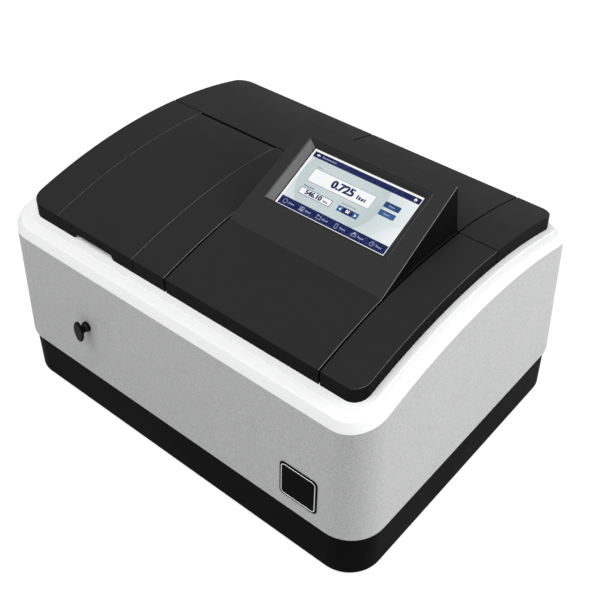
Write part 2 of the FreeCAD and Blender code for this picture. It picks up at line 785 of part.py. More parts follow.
def finger_notch():
    y = COVER_FRONT - 5
    z = arch_z(COVER_FRONT, SHOULDER_UP)
    notch = [V(NOTCH_X0, y, z - 5), V(NOTCH_X1, y, z - 5),
             V(NOTCH_X1 - NOTCH_SLANT, y, z + NOTCH_H), V(NOTCH_X0 + NOTCH_SLANT, y, z + NOTCH_H)]
    return Part.Face(Part.makePolygon(notch + notch[:1])).extrude(V(0, NOTCH_DEPTH + 5, 0))


def lid_hinge_pin():
    c = hinge_centre()
    return rod(PIN_R, (LID_X0 + PIN_IN, c.y, c.z), (1, 0, 0), LID_X1 - LID_X0 - 2 * PIN_IN)


def lid_hinge_brackets():
    c = hinge_centre()
    foot_y = c.y - BRACKET_BACK
    foot_z = arch_z(c.y)
    brackets = []
    for a, b in bracket_places():
        arm = profile_x([(foot_y - 1.8, foot_z - 5), (foot_y + 1.8, foot_z - 5), (foot_y + 1.8, c.z - 7),
                         (c.y + 1.0, c.z - 2.7), (c.y - 2.7, c.z + 0.6), (foot_y - 1.8, c.z - 3)], a, b)
        pad = box(a - 2, b + 2, foot_y - BRACKET_FOOT, foot_y + BRACKET_FOOT, foot_z - 5, foot_z + 3)
        eye = rod(EYE_R, (a, c.y, c.z), (1, 0, 0), b - a)
        bracket = trim(join([arm, pad, eye]), [rod(PIN_R, (a - 1, c.y, c.z), (1, 0, 0), b - a + 2), under(0)])
        brackets.append(bracket)
    return group(brackets)


def lid_seal():
    x0, x1 = LID_X0, LID_X1
    y0 = COVER_FRONT + FLANGE_W + SNUG + LID_SWING
    y1 = hinge_centre().y + 3
    plan = rounded_block(x0, x1, y0, y1, 2.0, CUT_LOW, CUT_HIGH)
    room = box(x0 + SEAL_W, x1 - SEAL_W, y0 + SEAL_W, y1 - SEAL_W, CUT_LOW, CUT_HIGH)
    return band(plan.cut(room), 0, SEAL_T)


def compartment_tub():
    outer = box(TUB_X0 - TUB_WALL, TUB_X1 + TUB_WALL, TUB_Y0 - TUB_WALL, TUB_Y1 + TUB_WALL, Z_BENCH, CUT_HIGH)
    inner = box(TUB_X0, TUB_X1, TUB_Y0, TUB_Y1, Z_BENCH + TUB_WALL, CUT_HIGH + 1)
    grow = TUB_WALL + TUB_RIM_W
    rim = rounded_block(TUB_X0 - grow, TUB_X1 + grow, TUB_Y0 - grow, TUB_Y1 + grow, 4.0, CUT_LOW, CUT_HIGH)
    tub = outer.common(under(TUB_RIM_T)).fuse(band(rim, 0, TUB_RIM_T)).cut(inner)
    seats = window_discs(0.0)
    for x in (TUB_X0 - TUB_WALL - 1, TUB_X1 - 1):
        seats.append(rod(WINDOW_R - 2, (x, BEAM_Y, BEAM_Z), (1, 0, 0), TUB_WALL + 2))
    seats.append(rod(ROD_R + 1.0, (ROD_X, TUB_Y0 - TUB_WALL - 1, ROD_Z), (0, 1, 0), TUB_WALL + 2))
    for x in rail_places():
        seats.append(rod(RAIL_R, (x, TUB_Y0 - TUB_WALL - 1, RAIL_Z), (0, 1, 0), TUB_WALL + 1))
        seats.append(rod(RAIL_R, (x, TUB_Y1, RAIL_Z), (0, 1, 0), TUB_WALL + 1))
    return trim(tub, seats).removeSplitter()


def window_discs(room):
    """Round seats for the two windows, cut into the tub's side walls from outside."""
    r = WINDOW_R - room
    return [rod(r, (TUB_X0 - TUB_WALL, BEAM_Y, BEAM_Z), (1, 0, 0), WINDOW_T),
            rod(r, (TUB_X1 + TUB_WALL - WINDOW_T, BEAM_Y, BEAM_Z), (1, 0, 0), WINDOW_T)]


def rail_places():
    return [ROD_X - RAIL_GAP / 2, ROD_X + RAIL_GAP / 2]


def beam_windows():
    return group(window_discs(0.1))


def changer_rails():
    y0 = TUB_Y0 - TUB_WALL
    return group([rod(RAIL_R, (x, y0, RAIL_Z), (0, 1, 0), TUB_Y1 + TUB_WALL - y0) for x in rail_places()])


def carriage_span():
    return BEAM_Y - CELL_REACH, BEAM_Y + (CELL_COUNT - 1) * CELL_PITCH + CELL_REACH


def cell_carriage():
    y0, y1 = carriage_span()
    half = RAIL_GAP / 2 + RAIL_R + 3.5
    z0 = RAIL_Z - RAIL_R - 2.5
    z1 = ROD_Z + CARRIAGE_BASE_T / 2
    sled = rounded_block(ROD_X - half, ROD_X + half, y0, y1, 3.0, z0, z1)
    width = CELL_REACH
    tower = rounded_block(ROD_X - width, ROD_X + width, y0, y1, 2.0, z1 - 1, z1 + CELL_DEPTH)
    body = join([sled, tower])
    cuts = []
    for x in rail_places():
        cuts.append(rod(RAIL_R + RAIL_FIT, (x, y0 - 1, RAIL_Z), (0, 1, 0), y1 - y0 + 2))
    h = CELL_SIZE / 2
    for k in range(CELL_COUNT):
        y = BEAM_Y + k * CELL_PITCH
        cuts.append(box(ROD_X - h, ROD_X + h, y - h, y + h, z1 + 1.5, z1 + CELL_DEPTH + 1))
        cuts.append(box(ROD_X - width - 1, ROD_X + width + 1, y - 3.5, y + 3.5, BEAM_Z - 9, BEAM_Z + 9))
    cuts.append(rod(ROD_R, (ROD_X, y0 - 1, ROD_Z), (0, 1, 0), ROD_IN + 1))
    return trim(body, cuts)


def pull_rod():
    y0 = Y_FRONT - KNOB_REACH + KNOB_T
    y1 = carriage_span()[0] + ROD_IN
    bar = rod(ROD_R, (ROD_X, y0, ROD_Z), (0, 1, 0), y1 - y0)
    grooves = []
    for k in range(CELL_COUNT):
        y = TUB_Y0 + DETENT_IN + k * CELL_PITCH
        grooves.append(ring(ROD_R + 1, ROD_R - 0.7, (ROD_X, y, ROD_Z), (0, 1, 0), 2.0))
    return trim(bar, grooves)


def oval_wire(half_w, half_h, r_end, y):
    """An upright oval of four arcs in the plane at y: tight round ends, long flat sides."""
    h = half_h - r_end
    r_side = (h ** 2 + half_w ** 2 - r_end ** 2) / (2 * (half_w - r_end))
    reach = r_side - half_w
    lean = math.atan2(h, reach)
    tx = r_side * math.cos(lean) - reach
    tz = r_side * math.sin(lean)
    top, low = V(0, y, half_h), V(0, y, -half_h)
    left, right = V(-half_w, y, 0), V(half_w, y, 0)
    turns = [V(tx, y, -tz), V(tx, y, tz), V(-tx, y, tz), V(-tx, y, -tz)]
    arcs = []
    for k, middle in enumerate((right, top, left, low)):
        arcs.append(Part.Arc(turns[k], middle, turns[(k + 1) % 4]).toShape())
    return Part.Wire(arcs)


def pull_knob():
    y0 = Y_FRONT - KNOB_REACH
    disc = Part.Face(oval_wire(KNOB_W / 2, KNOB_H / 2, KNOB_END_R, 0)).extrude(V(0, KNOB_T, 0))
    rims = [e for e in disc.Edges if e.BoundBox.YLength < 0.01]
    disc = round_edges(disc, rims, KNOB_EDGE)
    disc.translate(V(ROD_X, y0, ROD_Z))
    neck = rod(KNOB_NECK_R, (ROD_X, y0 + KNOB_T / 2, ROD_Z), (0, 1, 0),
               KNOB_REACH - KNOB_T / 2 - BUSH_FLANGE - KNOB_GAP)
    return join([disc, neck]).cut(rod(ROD_R, (ROD_X, y0 + KNOB_T, ROD_Z), (0, 1, 0), KNOB_REACH))


def rod_bush():
    flange = rod(BUSH_R, (ROD_X, Y_FRONT - BUSH_FLANGE, ROD_Z), (0, 1, 0), 8)
    flange = flange.cut(drafted(0, Z_BODY, CUT_HIGH))
    body = rod(BUSH_BODY_R, (ROD_X, Y_FRONT - BUSH_FLANGE + 0.5, ROD_Z), (0, 1, 0), 14)
    nut = ring(BUSH_BODY_R + 3, BUSH_BODY_R - 1, (ROD_X, Y_FRONT + BODY_WALL + 0.4, ROD_Z), (0, 1, 0), 4)
    nut = nut.common(drafted(BODY_WALL, Z_BODY, CUT_HIGH))
    bush = join([flange, body, nut])
    return bush.cut(rod(ROD_R + ROD_FIT, (ROD_X, Y_FRONT - 10, ROD_Z), (0, 1, 0), 40))


def detent_spring():
    y = TUB_Y0 + DETENT_IN + 1.0
    x = ROD_X + ROD_R + 5
    z = Z_BENCH + TUB_WALL
    foot = box(x, x + 12, y - 5, y + 5, z, z + 1.0)
    leaf = box(x, x + 1, y - 3, y + 3, z, ROD_Z + 2)
    nose = box(ROD_X + ROD_R + 0.3, x + 1, y - 0.8, y + 0.8, ROD_Z - 1.5, ROD_Z + 1.5)
    return join([foot, leaf, nose])


# Optics

def optical_bench():
    plate = rounded_block(-BENCH_X, BENCH_X, BENCH_Y0, BENCH_Y1, 10.0, BENCH_Z, Z_BENCH)
    ribs = []
    rib_x = BENCH_X - 56.0
    for x in (-rib_x, GRATING_X - 80.0, GRATING_X + 40.0, rib_x):
        ribs.append(box(x - BENCH_RIB_T / 2, x + BENCH_RIB_T / 2, BENCH_Y0 + 6, BENCH_Y1 - 6,
                        BENCH_Z - BENCH_RIB_H, BENCH_Z + 0.5))
    low, high = BENCH_Z - 1, Z_BENCH + 1
    windows = [rounded_block(-BENCH_X + 6, -BENCH_X + 34, DETECTOR_Y1 + 16, BENCH_Y1 - 22, 5.0, low, high),
               rounded_block(MONO_X1 + 18, BENCH_X - 16, MONO_Y0, MONO_Y1 + 12, 5.0, low, high),
               rod(MOTOR_SIZE / 4 + 0.4, (GRATING_X, GRATING_Y, low), (0, 0, 1), high - low)]
    return trim(join([plate] + ribs), windows)


def bench_posts():
    z0 = Z_FLOOR + POST_BOSS
    return group([rod(POST_R, (x, y, z0), (0, 0, 1), BENCH_Z - z0) for x, y in post_places()])


def mono_casting():
    z1 = Z_BENCH + MONO_H
    outer = rounded_block(MONO_X0, MONO_X1, MONO_Y0, MONO_Y1, 8.0, Z_BENCH, z1)
    t = MONO_WALL
    room = rounded_block(MONO_X0 + t, MONO_X1 - t, MONO_Y0 + t, MONO_Y1 - t, 5.0, Z_BENCH + t, z1 + 1)
    exit_way = rod(7, (MONO_X0 - 1, BEAM_Y, BEAM_Z), (1, 0, 0), MONO_WALL + 2)
    entry = rod(7, (SLIT_X, MONO_Y1 - MONO_WALL - 1, BEAM_Z), (0, 1, 0), MONO_WALL + 2)
    shaft = rod(5.2, (GRATING_X, GRATING_Y, Z_BENCH - 1), (0, 0, 1), MONO_WALL + 2)
    return trim(outer, [room, exit_way, entry, shaft])


def mono_cover():
    z1 = Z_BENCH + MONO_H
    plate = rounded_block(MONO_X0, MONO_X1, MONO_Y0, MONO_Y1, 8.0, z1, z1 + MONO_COVER_T)
    ribs = [box(MONO_X0 + 12, MONO_X1 - 12, y - 1.5, y + 1.5, z1 + MONO_COVER_T - 0.5, z1 + MONO_COVER_T + 3)
            for y in (MONO_Y0 + 30, MONO_Y1 - 30)]
    return join([plate] + ribs)


def slit_plates():
    half = SLIT_SIZE / 2
    low, high = BEAM_Z - half, BEAM_Z + half
    x = MONO_X0 + MONO_WALL
    leaving = box(x, x + SLIT_T, BEAM_Y - half, BEAM_Y + half, low, high)
    leaving = leaving.cut(box(x - 1, x + SLIT_T + 1, BEAM_Y - 0.5, BEAM_Y + 0.5, BEAM_Z - 5, BEAM_Z + 5))
    y = MONO_Y1 - MONO_WALL
    entering = box(SLIT_X - half, SLIT_X + half, y - SLIT_T, y, low, high)
    entering = entering.cut(box(SLIT_X - 0.5, SLIT_X + 0.5, y - SLIT_T - 1, y + 1, BEAM_Z - 5, BEAM_Z + 5))
    return group([leaving, entering])


def mono_mirrors():
    z0 = Z_BENCH + MONO_WALL
    mirrors = []
    for x, y, turn in ((SLIT_X + 6, MONO_Y0 + 27, 12.0), (MONO_X1 - 22, BEAM_Y + 10, 96.0)):
        stand = box(-12, 12, 2, 12, 0, BEAM_Z - z0 + MIRROR_R / 2)
        foot = box(-16, 16, -3, 15, 0, 5)
        glass = rod(MIRROR_R, (0, 2, BEAM_Z - z0), (0, -1, 0), 6)
        mount = join([stand, foot, glass])
        mount.rotate(V(0, 0, 0), V(0, 0, 1), turn + 180)
        mount.translate(V(x, y, z0))
        mirrors.append(mount)
    return group(mirrors)


def grating_table():
    x, y = GRATING_X, GRATING_Y
    z0 = Z_BENCH + MONO_WALL + 0.6
    half = GRATING_SIZE / 2
    disc = rod(half + 4, (x, y, z0 + 10), (0, 0, 1), 4)
    hub = rod(8, (x, y, z0), (0, 0, 1), 11)
    shaft = rod(MOTOR_SHAFT_R, (x, y, Z_BENCH - 12), (0, 0, 1), z0 + 5 - Z_BENCH + 12)
    clamp = box(x - half, x + half, y + GRATING_T, y + GRATING_T + 4, z0 + 13, BEAM_Z + half + 1)
    return join([disc, hub, shaft, clamp])


def grating_block():
    half = GRATING_SIZE / 2
    return box(GRATING_X - half, GRATING_X + half, GRATING_Y, GRATING_Y + GRATING_T,
               BEAM_Z - half, BEAM_Z + half)


def stepper(x, y, z, size, height, hole_r):
    body = rounded_block(-size / 2, size / 2, -size / 2, size / 2, size / 8, -height, 0)
    collar = rod(size / 4, (0, 0, -0.5), (0, 0, 1), 2.0)
    body = join([body, collar]).cut(rod(hole_r, (0, 0, -height - 1), (0, 0, 1), height + 5))
    body.translate(V(x, y, z))
    return body


def grating_motor():
    return stepper(GRATING_X, GRATING_Y, BENCH_Z, MOTOR_SIZE, MOTOR_H, MOTOR_SHAFT_R + SHAFT_ROOM)


def wheel_centre():
    return V(SLIT_X, MONO_Y1 + WHEEL_GAP, BEAM_Z - WHEEL_ARM)


def filter_places():
    c = wheel_centre()
    places = []
    for k in range(FILTER_COUNT):
        a = math.radians(90 + k * 360.0 / FILTER_COUNT)
        places.append((c.x + WHEEL_ARM * math.cos(a), c.z + WHEEL_ARM * math.sin(a)))
    return places


def filter_wheel():
    c = wheel_centre()
    disc = rod(WHEEL_R, (c.x, c.y, c.z), (0, 1, 0), WHEEL_T)
    hub = rod(WHEEL_HUB_R, (c.x, c.y, c.z), (0, 1, 0), WHEEL_T + WHEEL_HUB_OUT)
    shaft = rod(SMALL_SHAFT_R, (c.x, c.y, c.z), (0, 1, 0), WHEEL_T + WHEEL_SHAFT_OUT)
    wheel = join([disc, hub, shaft])
    return trim(wheel, [rod(FILTER_R, (x, c.y - 1, z), (0, 1, 0), WHEEL_T + 2) for x, z in filter_places()])


def filter_glasses():
    c = wheel_centre()
    y = c.y + (WHEEL_T - FILTER_T) / 2
    return group([rod(FILTER_R, (x, y, z), (0, 1, 0), FILTER_T) for x, z in filter_places()[1:]])


def filter_motor():
    c = wheel_centre()
    y0 = c.y + WHEEL_T + WHEEL_TO_MOTOR
    can = rod(FILTER_CAN_R, (c.x, y0, c.z), (0, 1, 0), FILTER_CAN_L)
    foot = box(c.x - FILTER_FOOT_W / 2, c.x + FILTER_FOOT_W / 2, y0 + 2, y0 + FILTER_CAN_L - 2,
               Z_BENCH, c.z - FILTER_CAN_R + 2)
    bore = rod(SMALL_BORE_R, (c.x, y0 - 1, c.z), (0, 1, 0), FILTER_CAN_L + 2)
    return join([can, foot]).cut(bore)


def lamp_slots():
    count = int((LAMP_W - 20) / LAMP_SLOT_PITCH)
    return [LAMP_X0 + 16.5 + k * LAMP_SLOT_PITCH for k in range(count)]


def lamp_house():
    z1 = Z_BENCH + LAMP_H
    outer = box(LAMP_X0, LAMP_X1, LAMP_Y0, LAMP_Y1, Z_BENCH, z1)
    t = SHEET_T
    room = box(LAMP_X0 + t, LAMP_X1 - t, LAMP_Y0 + t, LAMP_Y1 - t, Z_BENCH + t, z1 + 1)
    cuts = [room, rod(8, (SLIT_X, LAMP_Y0 - 1, BEAM_Z), (0, 1, 0), 4)]
    for x in lamp_slots():
        cuts.append(box(x - 2, x + 2, LAMP_Y1 - 4, LAMP_Y1 + 2, BEAM_Z - 20, BEAM_Z + 20))
    return trim(outer, cuts)


def lamp_house_cover():
    z1 = Z_BENCH + LAMP_H
    t = SHEET_T
    lid = box(LAMP_X0 - t, LAMP_X1 + t, LAMP_Y0 - t, LAMP_Y1 + t, z1 - 10, z1 + t)
    lid = lid.cut(box(LAMP_X0, LAMP_X1, LAMP_Y0, LAMP_Y1, z1 - 11, z1))
    slots = [box(x - 2.5, x + 2.5, LAMP_Y0 + 12, LAMP_Y1 - 12, z1 - 1, z1 + 3) for x in lamp_slots()]
    return trim(lid, slots)


def tungsten_place():
    return LAMP_X1 - LAMP_SIDE, lamp_mirror_centre().y


def tungsten_lamp():
    x, y = tungsten_place()
    r = TUNGSTEN_R
    z0 = BEAM_Z - TUNGSTEN_LOW
    bulb = rod(r, (x, y, z0), (0, 0, 1), TUNGSTEN_H)
    tip = Part.makeCone(r, TUNGSTEN_TIP_R, TUNGSTEN_TIP_H, V(x, y, z0 + TUNGSTEN_H), V(0, 0, 1))
    pinch = box(x - r, x + r, y - PINCH_T / 2, y + PINCH_T / 2, z0 - PINCH_H, z0 + 1)
    return join([bulb, tip, pinch])


def deuterium_lamp():
    x, y = SLIT_X, LAMP_Y1 - LAMP_BACK
    r = DEUTERIUM_R
    z0 = BEAM_Z - DEUTERIUM_LOW
    bulb = rod(r, (x, y, z0), (0, 0, 1), DEUTERIUM_H)
    tip = Part.makeCone(r, DEUTERIUM_TIP_R, DEUTERIUM_TIP_H, V(x, y, z0 + DEUTERIUM_H), V(0, 0, 1))
    cap = rod(LAMP_CAP_R, (x, y, BEAM_Z - LAMP_CAP_LOW), (0, 0, 1), LAMP_CAP_T)
    return join([bulb, tip, cap])


def lamp_sockets():
    x, y = tungsten_place()
    z0 = Z_BENCH + SHEET_T
    pinch_end = BEAM_Z - TUNGSTEN_LOW - PINCH_H
    small = box(x - SOCKET_W / 2, x + SOCKET_W / 2, y - SOCKET_D / 2, y + SOCKET_D / 2, z0, pinch_end + SOCKET_GRIP)
    small = small.cut(box(x - TUNGSTEN_R, x + TUNGSTEN_R, y - PINCH_T / 2, y + PINCH_T / 2, pinch_end, BEAM_Z))
    big = rod(LAMP_CAP_R + 1, (SLIT_X, LAMP_Y1 - LAMP_BACK, z0), (0, 0, 1), BEAM_Z - LAMP_CAP_LOW - z0)
    return group([small, big])


def lamp_mirror_centre():
    return V(SLIT_X, LAMP_Y0 + SOURCE_MIRROR_IN, 0)


def lamp_mirror():
    c = lamp_mirror_centre()
    half, edge = BLADE_W / 2, BLADE_T / 2
    foot = BEAM_Z - BLADE_LOW
    blade = box(-half, half, -edge, edge, foot, BEAM_Z + BLADE_UP)
    blade.rotate(V(0, 0, 0), V(0, 0, 1), 45)
    z0 = Z_BENCH + SHEET_T + MIRROR_SHAFT_IN
    shaft = rod(SMALL_SHAFT_R, (0, 0, z0), (0, 0, 1), foot + 1 - z0)
    mirror = join([blade, shaft])
    mirror.translate(V(c.x, c.y, 0))
    return mirror


def lamp_mirror_motor():
    c = lamp_mirror_centre()
    z0 = Z_BENCH + SHEET_T
    can = rod(MIRROR_CAN_R, (c.x, c.y, z0), (0, 0, 1), MIRROR_CAN_H)
    return can.cut(rod(SMALL_BORE_R, (c.x, c.y, z0 + MIRROR_SHAFT_IN - 1), (0, 0, 1), MIRROR_CAN_H))


def detector_house():
    z1 = Z_BENCH + DETECTOR_H
    t = DETECTOR_WALL
    outer = rounded_block(DETECTOR_X0, DETECTOR_X1, DETECTOR_Y0, DETECTOR_Y1, 5.0, Z_BENCH, z1)
    room = rounded_block(DETECTOR_X0 + t, DETECTOR_X1 - t, DETECTOR_Y0 + t, DETECTOR_Y1 - t, 3.0,
                         Z_BENCH + t, z1 - t)
    return trim(outer, [room, rod(8, (DETECTOR_X1 - t - 2, BEAM_Y, BEAM_Z), (1, 0, 0), t + 4)])


def detector_board():
    x = DETECTOR_X0 + DETECTOR_WALL + 6
    face = x + BOARD_T
    low = Z_BENCH + DETECTOR_WALL
    board = box(x, face, DETECTOR_Y0 + 8, DETECTOR_Y1 - 8, low, Z_BENCH + DETECTOR_H - 8)
    can = rod(7, (face, BEAM_Y, BEAM_Z), (1, 0, 0), 8)
    chip = box(face, face + 2.4, BEAM_Y + 12, BEAM_Y + 24, BEAM_Z - 20, BEAM_Z - 8)
    return join([board, can, chip])


# Electronics and rear fittings

def power_supply():
    x0, x1, y0 = SUPPLY_X0, SUPPLY_X1, ELECTRONICS_Y
    y1 = y0 + SUPPLY_D
    z1 = Z_FLOOR + SUPPLY_H
    case = box(x0, x1, y0, y1, Z_FLOOR, z1)
    room = box(x0 + 2, x1 - 2, y0 + 2, y1 - 2, Z_FLOOR + 2, z1 - 2)
    pitch = (SUPPLY_W - 20) / SUPPLY_SLOTS
    slots = []
    for k in range(SUPPLY_SLOTS):
        x = x0 + 10 + (k + 0.5) * pitch
        slots.append(box(x - 3, x + 3, y0 + 15, y1 - 15, z1 - 3, z1 + 1))
    return trim(case, [room] + slots)


def main_board():
    x0, x1, y0 = BOARD_X0, BOARD_X1, ELECTRONICS_Y
    y1 = y0 + BOARD_D
    low = Z_FLOOR + BOARD_STAND
    top = low + BOARD_T
    parts = [box(x0, x1, y0, y1, low, top)]
    for x in (x0 + STUD_IN, x1 - STUD_IN):
        for y in (y0 + STUD_IN, y1 - STUD_IN):
            parts.append(rod(STUD_R, (x, y, Z_FLOOR), (0, 0, 1), BOARD_STAND + 0.5))
    for x, y, w, d, h in BOARD_CHIPS:
        parts.append(box(x0 + x, x0 + x + w, y0 + y, y0 + y + d, top - 0.1, top + h))
    for x, y in BOARD_CANS:
        parts.append(rod(BOARD_CAN_R, (x0 + x, y0 + y, top - 0.1), (0, 0, 1), BOARD_CAN_H))
    return join(parts)


def inlet_block(grow, y0, y1):
    z = PANEL_MID - INLET_LOW
    return box(INLET_X - INLET_W / 2 - grow, INLET_X + INLET_W / 2 + grow, y0, y1,
               z - INLET_H / 2 - grow, z + INLET_H / 2 + grow)


def rocker_centre():
    return V(INLET_X, PANEL_Y - 1.0, PANEL_MID + ROCKER_UP)


def rocker_frame_block(grow, y0, y1):
    c = rocker_centre()
    return box(c.x - ROCKER_W / 2 - 3 - grow, c.x + ROCKER_W / 2 + 3 + grow, y0, y1,
               c.z - ROCKER_H / 2 - 3 - grow, c.z + ROCKER_H / 2 + 3 + grow)


def port_blocks(grow, y0, y1):
    """Two square ports above each other and a wide one beside them: x, z of the centre, width, height."""
    ports = ((0, 11.5, 14, 7), (0, -12.5, 12, 11), (32, 1.5, 32, 13))
    return [box(PORT_X + x - w / 2 - grow, PORT_X + x + w / 2 + grow, y0, y1,
                PANEL_MID + z - h / 2 - grow, PANEL_MID + z + h / 2 + grow) for x, z, w, h in ports]


def fan_guard(y, z):
    bars = [box(FAN_X - FAN_SIZE, FAN_X + FAN_SIZE, y - 5, y + 5, z - 1.5, z + 1.5),
            box(FAN_X - 1.5, FAN_X + 1.5, y - 5, y + 5, z - FAN_SIZE, z + FAN_SIZE)]
    rings = []
    for r in (6.0, 14.0, 22.0):
        rings.append(trim(ring(r + 5.0, r, (FAN_X, y - PANEL_T - 1, z), (0, 1, 0), PANEL_T + 2), bars))
    return rings


def rear_panel():
    y, z = PANEL_Y, PANEL_MID
    lap = PANEL_LAP - 1.0
    plate = box(PANEL_X0 - lap, PANEL_X1 + lap, y - PANEL_T, y, PANEL_Z0 - lap, PANEL_Z1 + lap)
    cuts = [inlet_block(0, y - 10, y + 10), rocker_frame_block(0, y - 10, y + 10)]
    cuts += port_blocks(0.2, y - 10, y + 10) + fan_guard(y, z)
    vent_x = FAN_X + FAN_SIZE / 2 + 10
    for k in range(int((PORT_X - 12 - vent_x) / VENT_PITCH)):
        x = vent_x + k * VENT_PITCH
        cuts.append(box(x, x + VENT_W, y - 5, y + 5, z - VENT_H / 2, z + VENT_H / 2))
    for x, screw_z in screw_places():
        cuts.append(rod(1.7, (x, y - 5, screw_z), (0, 1, 0), 10))
    return trim(plate, cuts)


def screw_places():
    xs = (PANEL_X0 + SCREW_IN, (PANEL_X0 + PANEL_X1) / 2, PANEL_X1 - SCREW_IN)
    return [(x, z) for x in xs for z in (PANEL_Z0 + SCREW_IN, PANEL_Z1 - SCREW_IN)]


def panel_screws():
    y = PANEL_Y
    screws = []
    for x, z in screw_places():
        head = rod(SCREW_HEAD_R, (x, y, z), (0, 1, 0), SCREW_HEAD_T)
        shank = rod(SCREW_SHANK_R, (x, y - SCREW_SHANK_L, z), (0, 1, 0), SCREW_SHANK_L + 0.2)
        slot = box(x - SCREW_HEAD_R + 0.8, x + SCREW_HEAD_R - 0.8, y + SCREW_HEAD_T - SCREW_SLOT_D, y + SCREW_HEAD_T + 1,
                   z - SCREW_SLOT_W / 2, z + SCREW_SLOT_W / 2)
        screws.append(join([head, shank]).cut(slot))
    return group(screws)


def fan_frame():
    y1 = PANEL_Y - PANEL_T
    y0 = y1 - FAN_T
    half = FAN_SIZE / 2
    frame = box(FAN_X - half, FAN_X + half, y0, y1, PANEL_MID - half, PANEL_MID + half)
    frame = frame.cut(rod(half - 2, (FAN_X, y0 - 1, PANEL_MID), (0, 1, 0), FAN_T + 2))
    parts = [frame, rod(FAN_HUB_R, (FAN_X, y0, PANEL_MID), (0, 1, 0), 2.0)]
    for k in range(3):
        stay = box(FAN_HUB_R - 2, half, 0, 2.0, -1.5, 1.5)
        stay.rotate(V(0, 0, 0), V(0, 1, 0), k * 120 + 30)
        stay.translate(V(FAN_X, y0, PANEL_MID))
        parts.append(stay)
    parts.append(rod(FAN_PIN_R, (FAN_X, y0 + 1, PANEL_MID), (0, 1, 0), FAN_T - 4))
    return join(parts)


def fan_rotor():
    y0 = PANEL_Y - PANEL_T - FAN_T + 3
    length = FAN_T - 4.5
    slab = box(-FAN_SIZE, FAN_SIZE, y0 + 0.2, y0 + length - 0.2, -FAN_SIZE, FAN_SIZE)
    parts = [rod(FAN_HUB_R, (0, y0, 0), (0, 1, 0), length)]
    for k in range(FAN_BLADES):
        blade = box(FAN_HUB_R - 1, FAN_SIZE / 2 - 3.5, -0.7, 0.7, -9, 9)
        blade.rotate(V(0, 0, 0), V(1, 0, 0), 42)
        blade.translate(V(0, y0 + length / 2, 0))
        blade = blade.common(slab)
        blade.rotate(V(0, 0, 0), V(0, 1, 0), k * 360.0 / FAN_BLADES)
        parts.append(blade)
    rotor = join(parts).cut(rod(FAN_PIN_R + 0.05, (0, y0 - 1, 0), (0, 1, 0), length + 2))
    rotor.translate(V(FAN_X, 0, PANEL_MID))
    return rotor


def power_inlet():
    y = PANEL_Y
    rim = inlet_block(2.5, y, y + 1.6)
    body = inlet_block(-0.1, y - INLET_D, y + 0.5)
    well = inlet_block(-3.0, y - INLET_D + 8, y + 3)
    pins = []
    z = PANEL_MID - INLET_LOW
    for dx, dz in ((-7, -2), (7, -2), (0, 3)):
        pins.append(box(INLET_X + dx - 1, INLET_X + dx + 1, y - INLET_D + 7, y - 3, z + dz - 2, z + dz + 2))
    return join([join([rim, body]).cut(well)] + pins)


def rocker_frame():
    y = PANEL_Y
    rim = rocker_frame_block(1.5, y, y + 1.2)
    body = rocker_frame_block(-0.1, y - 14, y + 0.5)
    c = rocker_centre()
    well = box(c.x - ROCKER_W / 2, c.x + ROCKER_W / 2, y - 9, y + 3, c.z - ROCKER_H / 2, c.z + ROCKER_H / 2)
    axle = rod(AXLE_R, (c.x - ROCKER_W / 2 - 1, c.y, c.z), (1, 0, 0), ROCKER_W + 2)
    return join([join([rim, body]).cut(well), axle])


def power_rocker():
    c = rocker_centre()
    half = ROCKER_H / 2 - 0.5
    tip = math.radians(ROCKER_TIP)
    points = []
    for dy, dz in ((2.2, -half), (1.6, 0), (2.2, half), (-2.5, half - 1), (-5.0, 0), (-2.5, -half + 1)):
        points.append((c.y + dy * math.cos(tip) + dz * math.sin(tip),
                       c.z - dy * math.sin(tip) + dz * math.cos(tip)))
    body = profile_x(points, c.x - ROCKER_W / 2 + 0.4, c.x + ROCKER_W / 2 - 0.4)
    return body.cut(rod(AXLE_R + 0.05, (c.x - ROCKER_W, c.y, c.z), (1, 0, 0), 2 * ROCKER_W))


def data_ports():
    y = PANEL_Y
    shells = []
    for block in port_blocks(0.1, y - PORT_L, y + PORT_PROUD):
        b = block.BoundBox
        t = PORT_WALL
        mid = (b.ZMin + b.ZMax) / 2
        well = box(b.XMin + t, b.XMax - t, y - PORT_WELL, y + 2, b.ZMin + t, b.ZMax - t)
        tongue = box(b.XMin + 3 * t, b.XMax - 3 * t, y - PORT_WELL - 1, y - 1,
                     mid - PORT_TONGUE / 2, mid + PORT_TONGUE / 2)
        shells.append(join([block.cut(well), tongue]))
    return group(shells)


NODES = [base_tray, rubber_feet, housing_shell, badge_plate, shoulder_ring, support_deck,
         left_cover, mid_cover, console_cover, right_cover, rear_left_cover, rear_centre_cover,
         rear_right_cover, screen_bezel, touch_glass, lcd_module, display_board,
         sample_lid, lid_hinge_pin, lid_hinge_brackets, lid_seal, compartment_tub, beam_windows,
         changer_rails, cell_carriage, pull_rod, pull_knob, rod_bush, detent_spring,
         optical_bench, bench_posts, mono_casting, mono_cover, slit_plates, mono_mirrors,
         grating_table, grating_block, grating_motor, filter_wheel, filter_glasses, filter_motor,
         lamp_house, lamp_house_cover, tungsten_lamp, deuterium_lamp, lamp_sockets, lamp_mirror,
         lamp_mirror_motor, detector_house, detector_board, power_supply, main_board,
         rear_panel, panel_screws, fan_frame, fan_rotor, power_inlet, rocker_frame, power_rocker,
         data_ports]

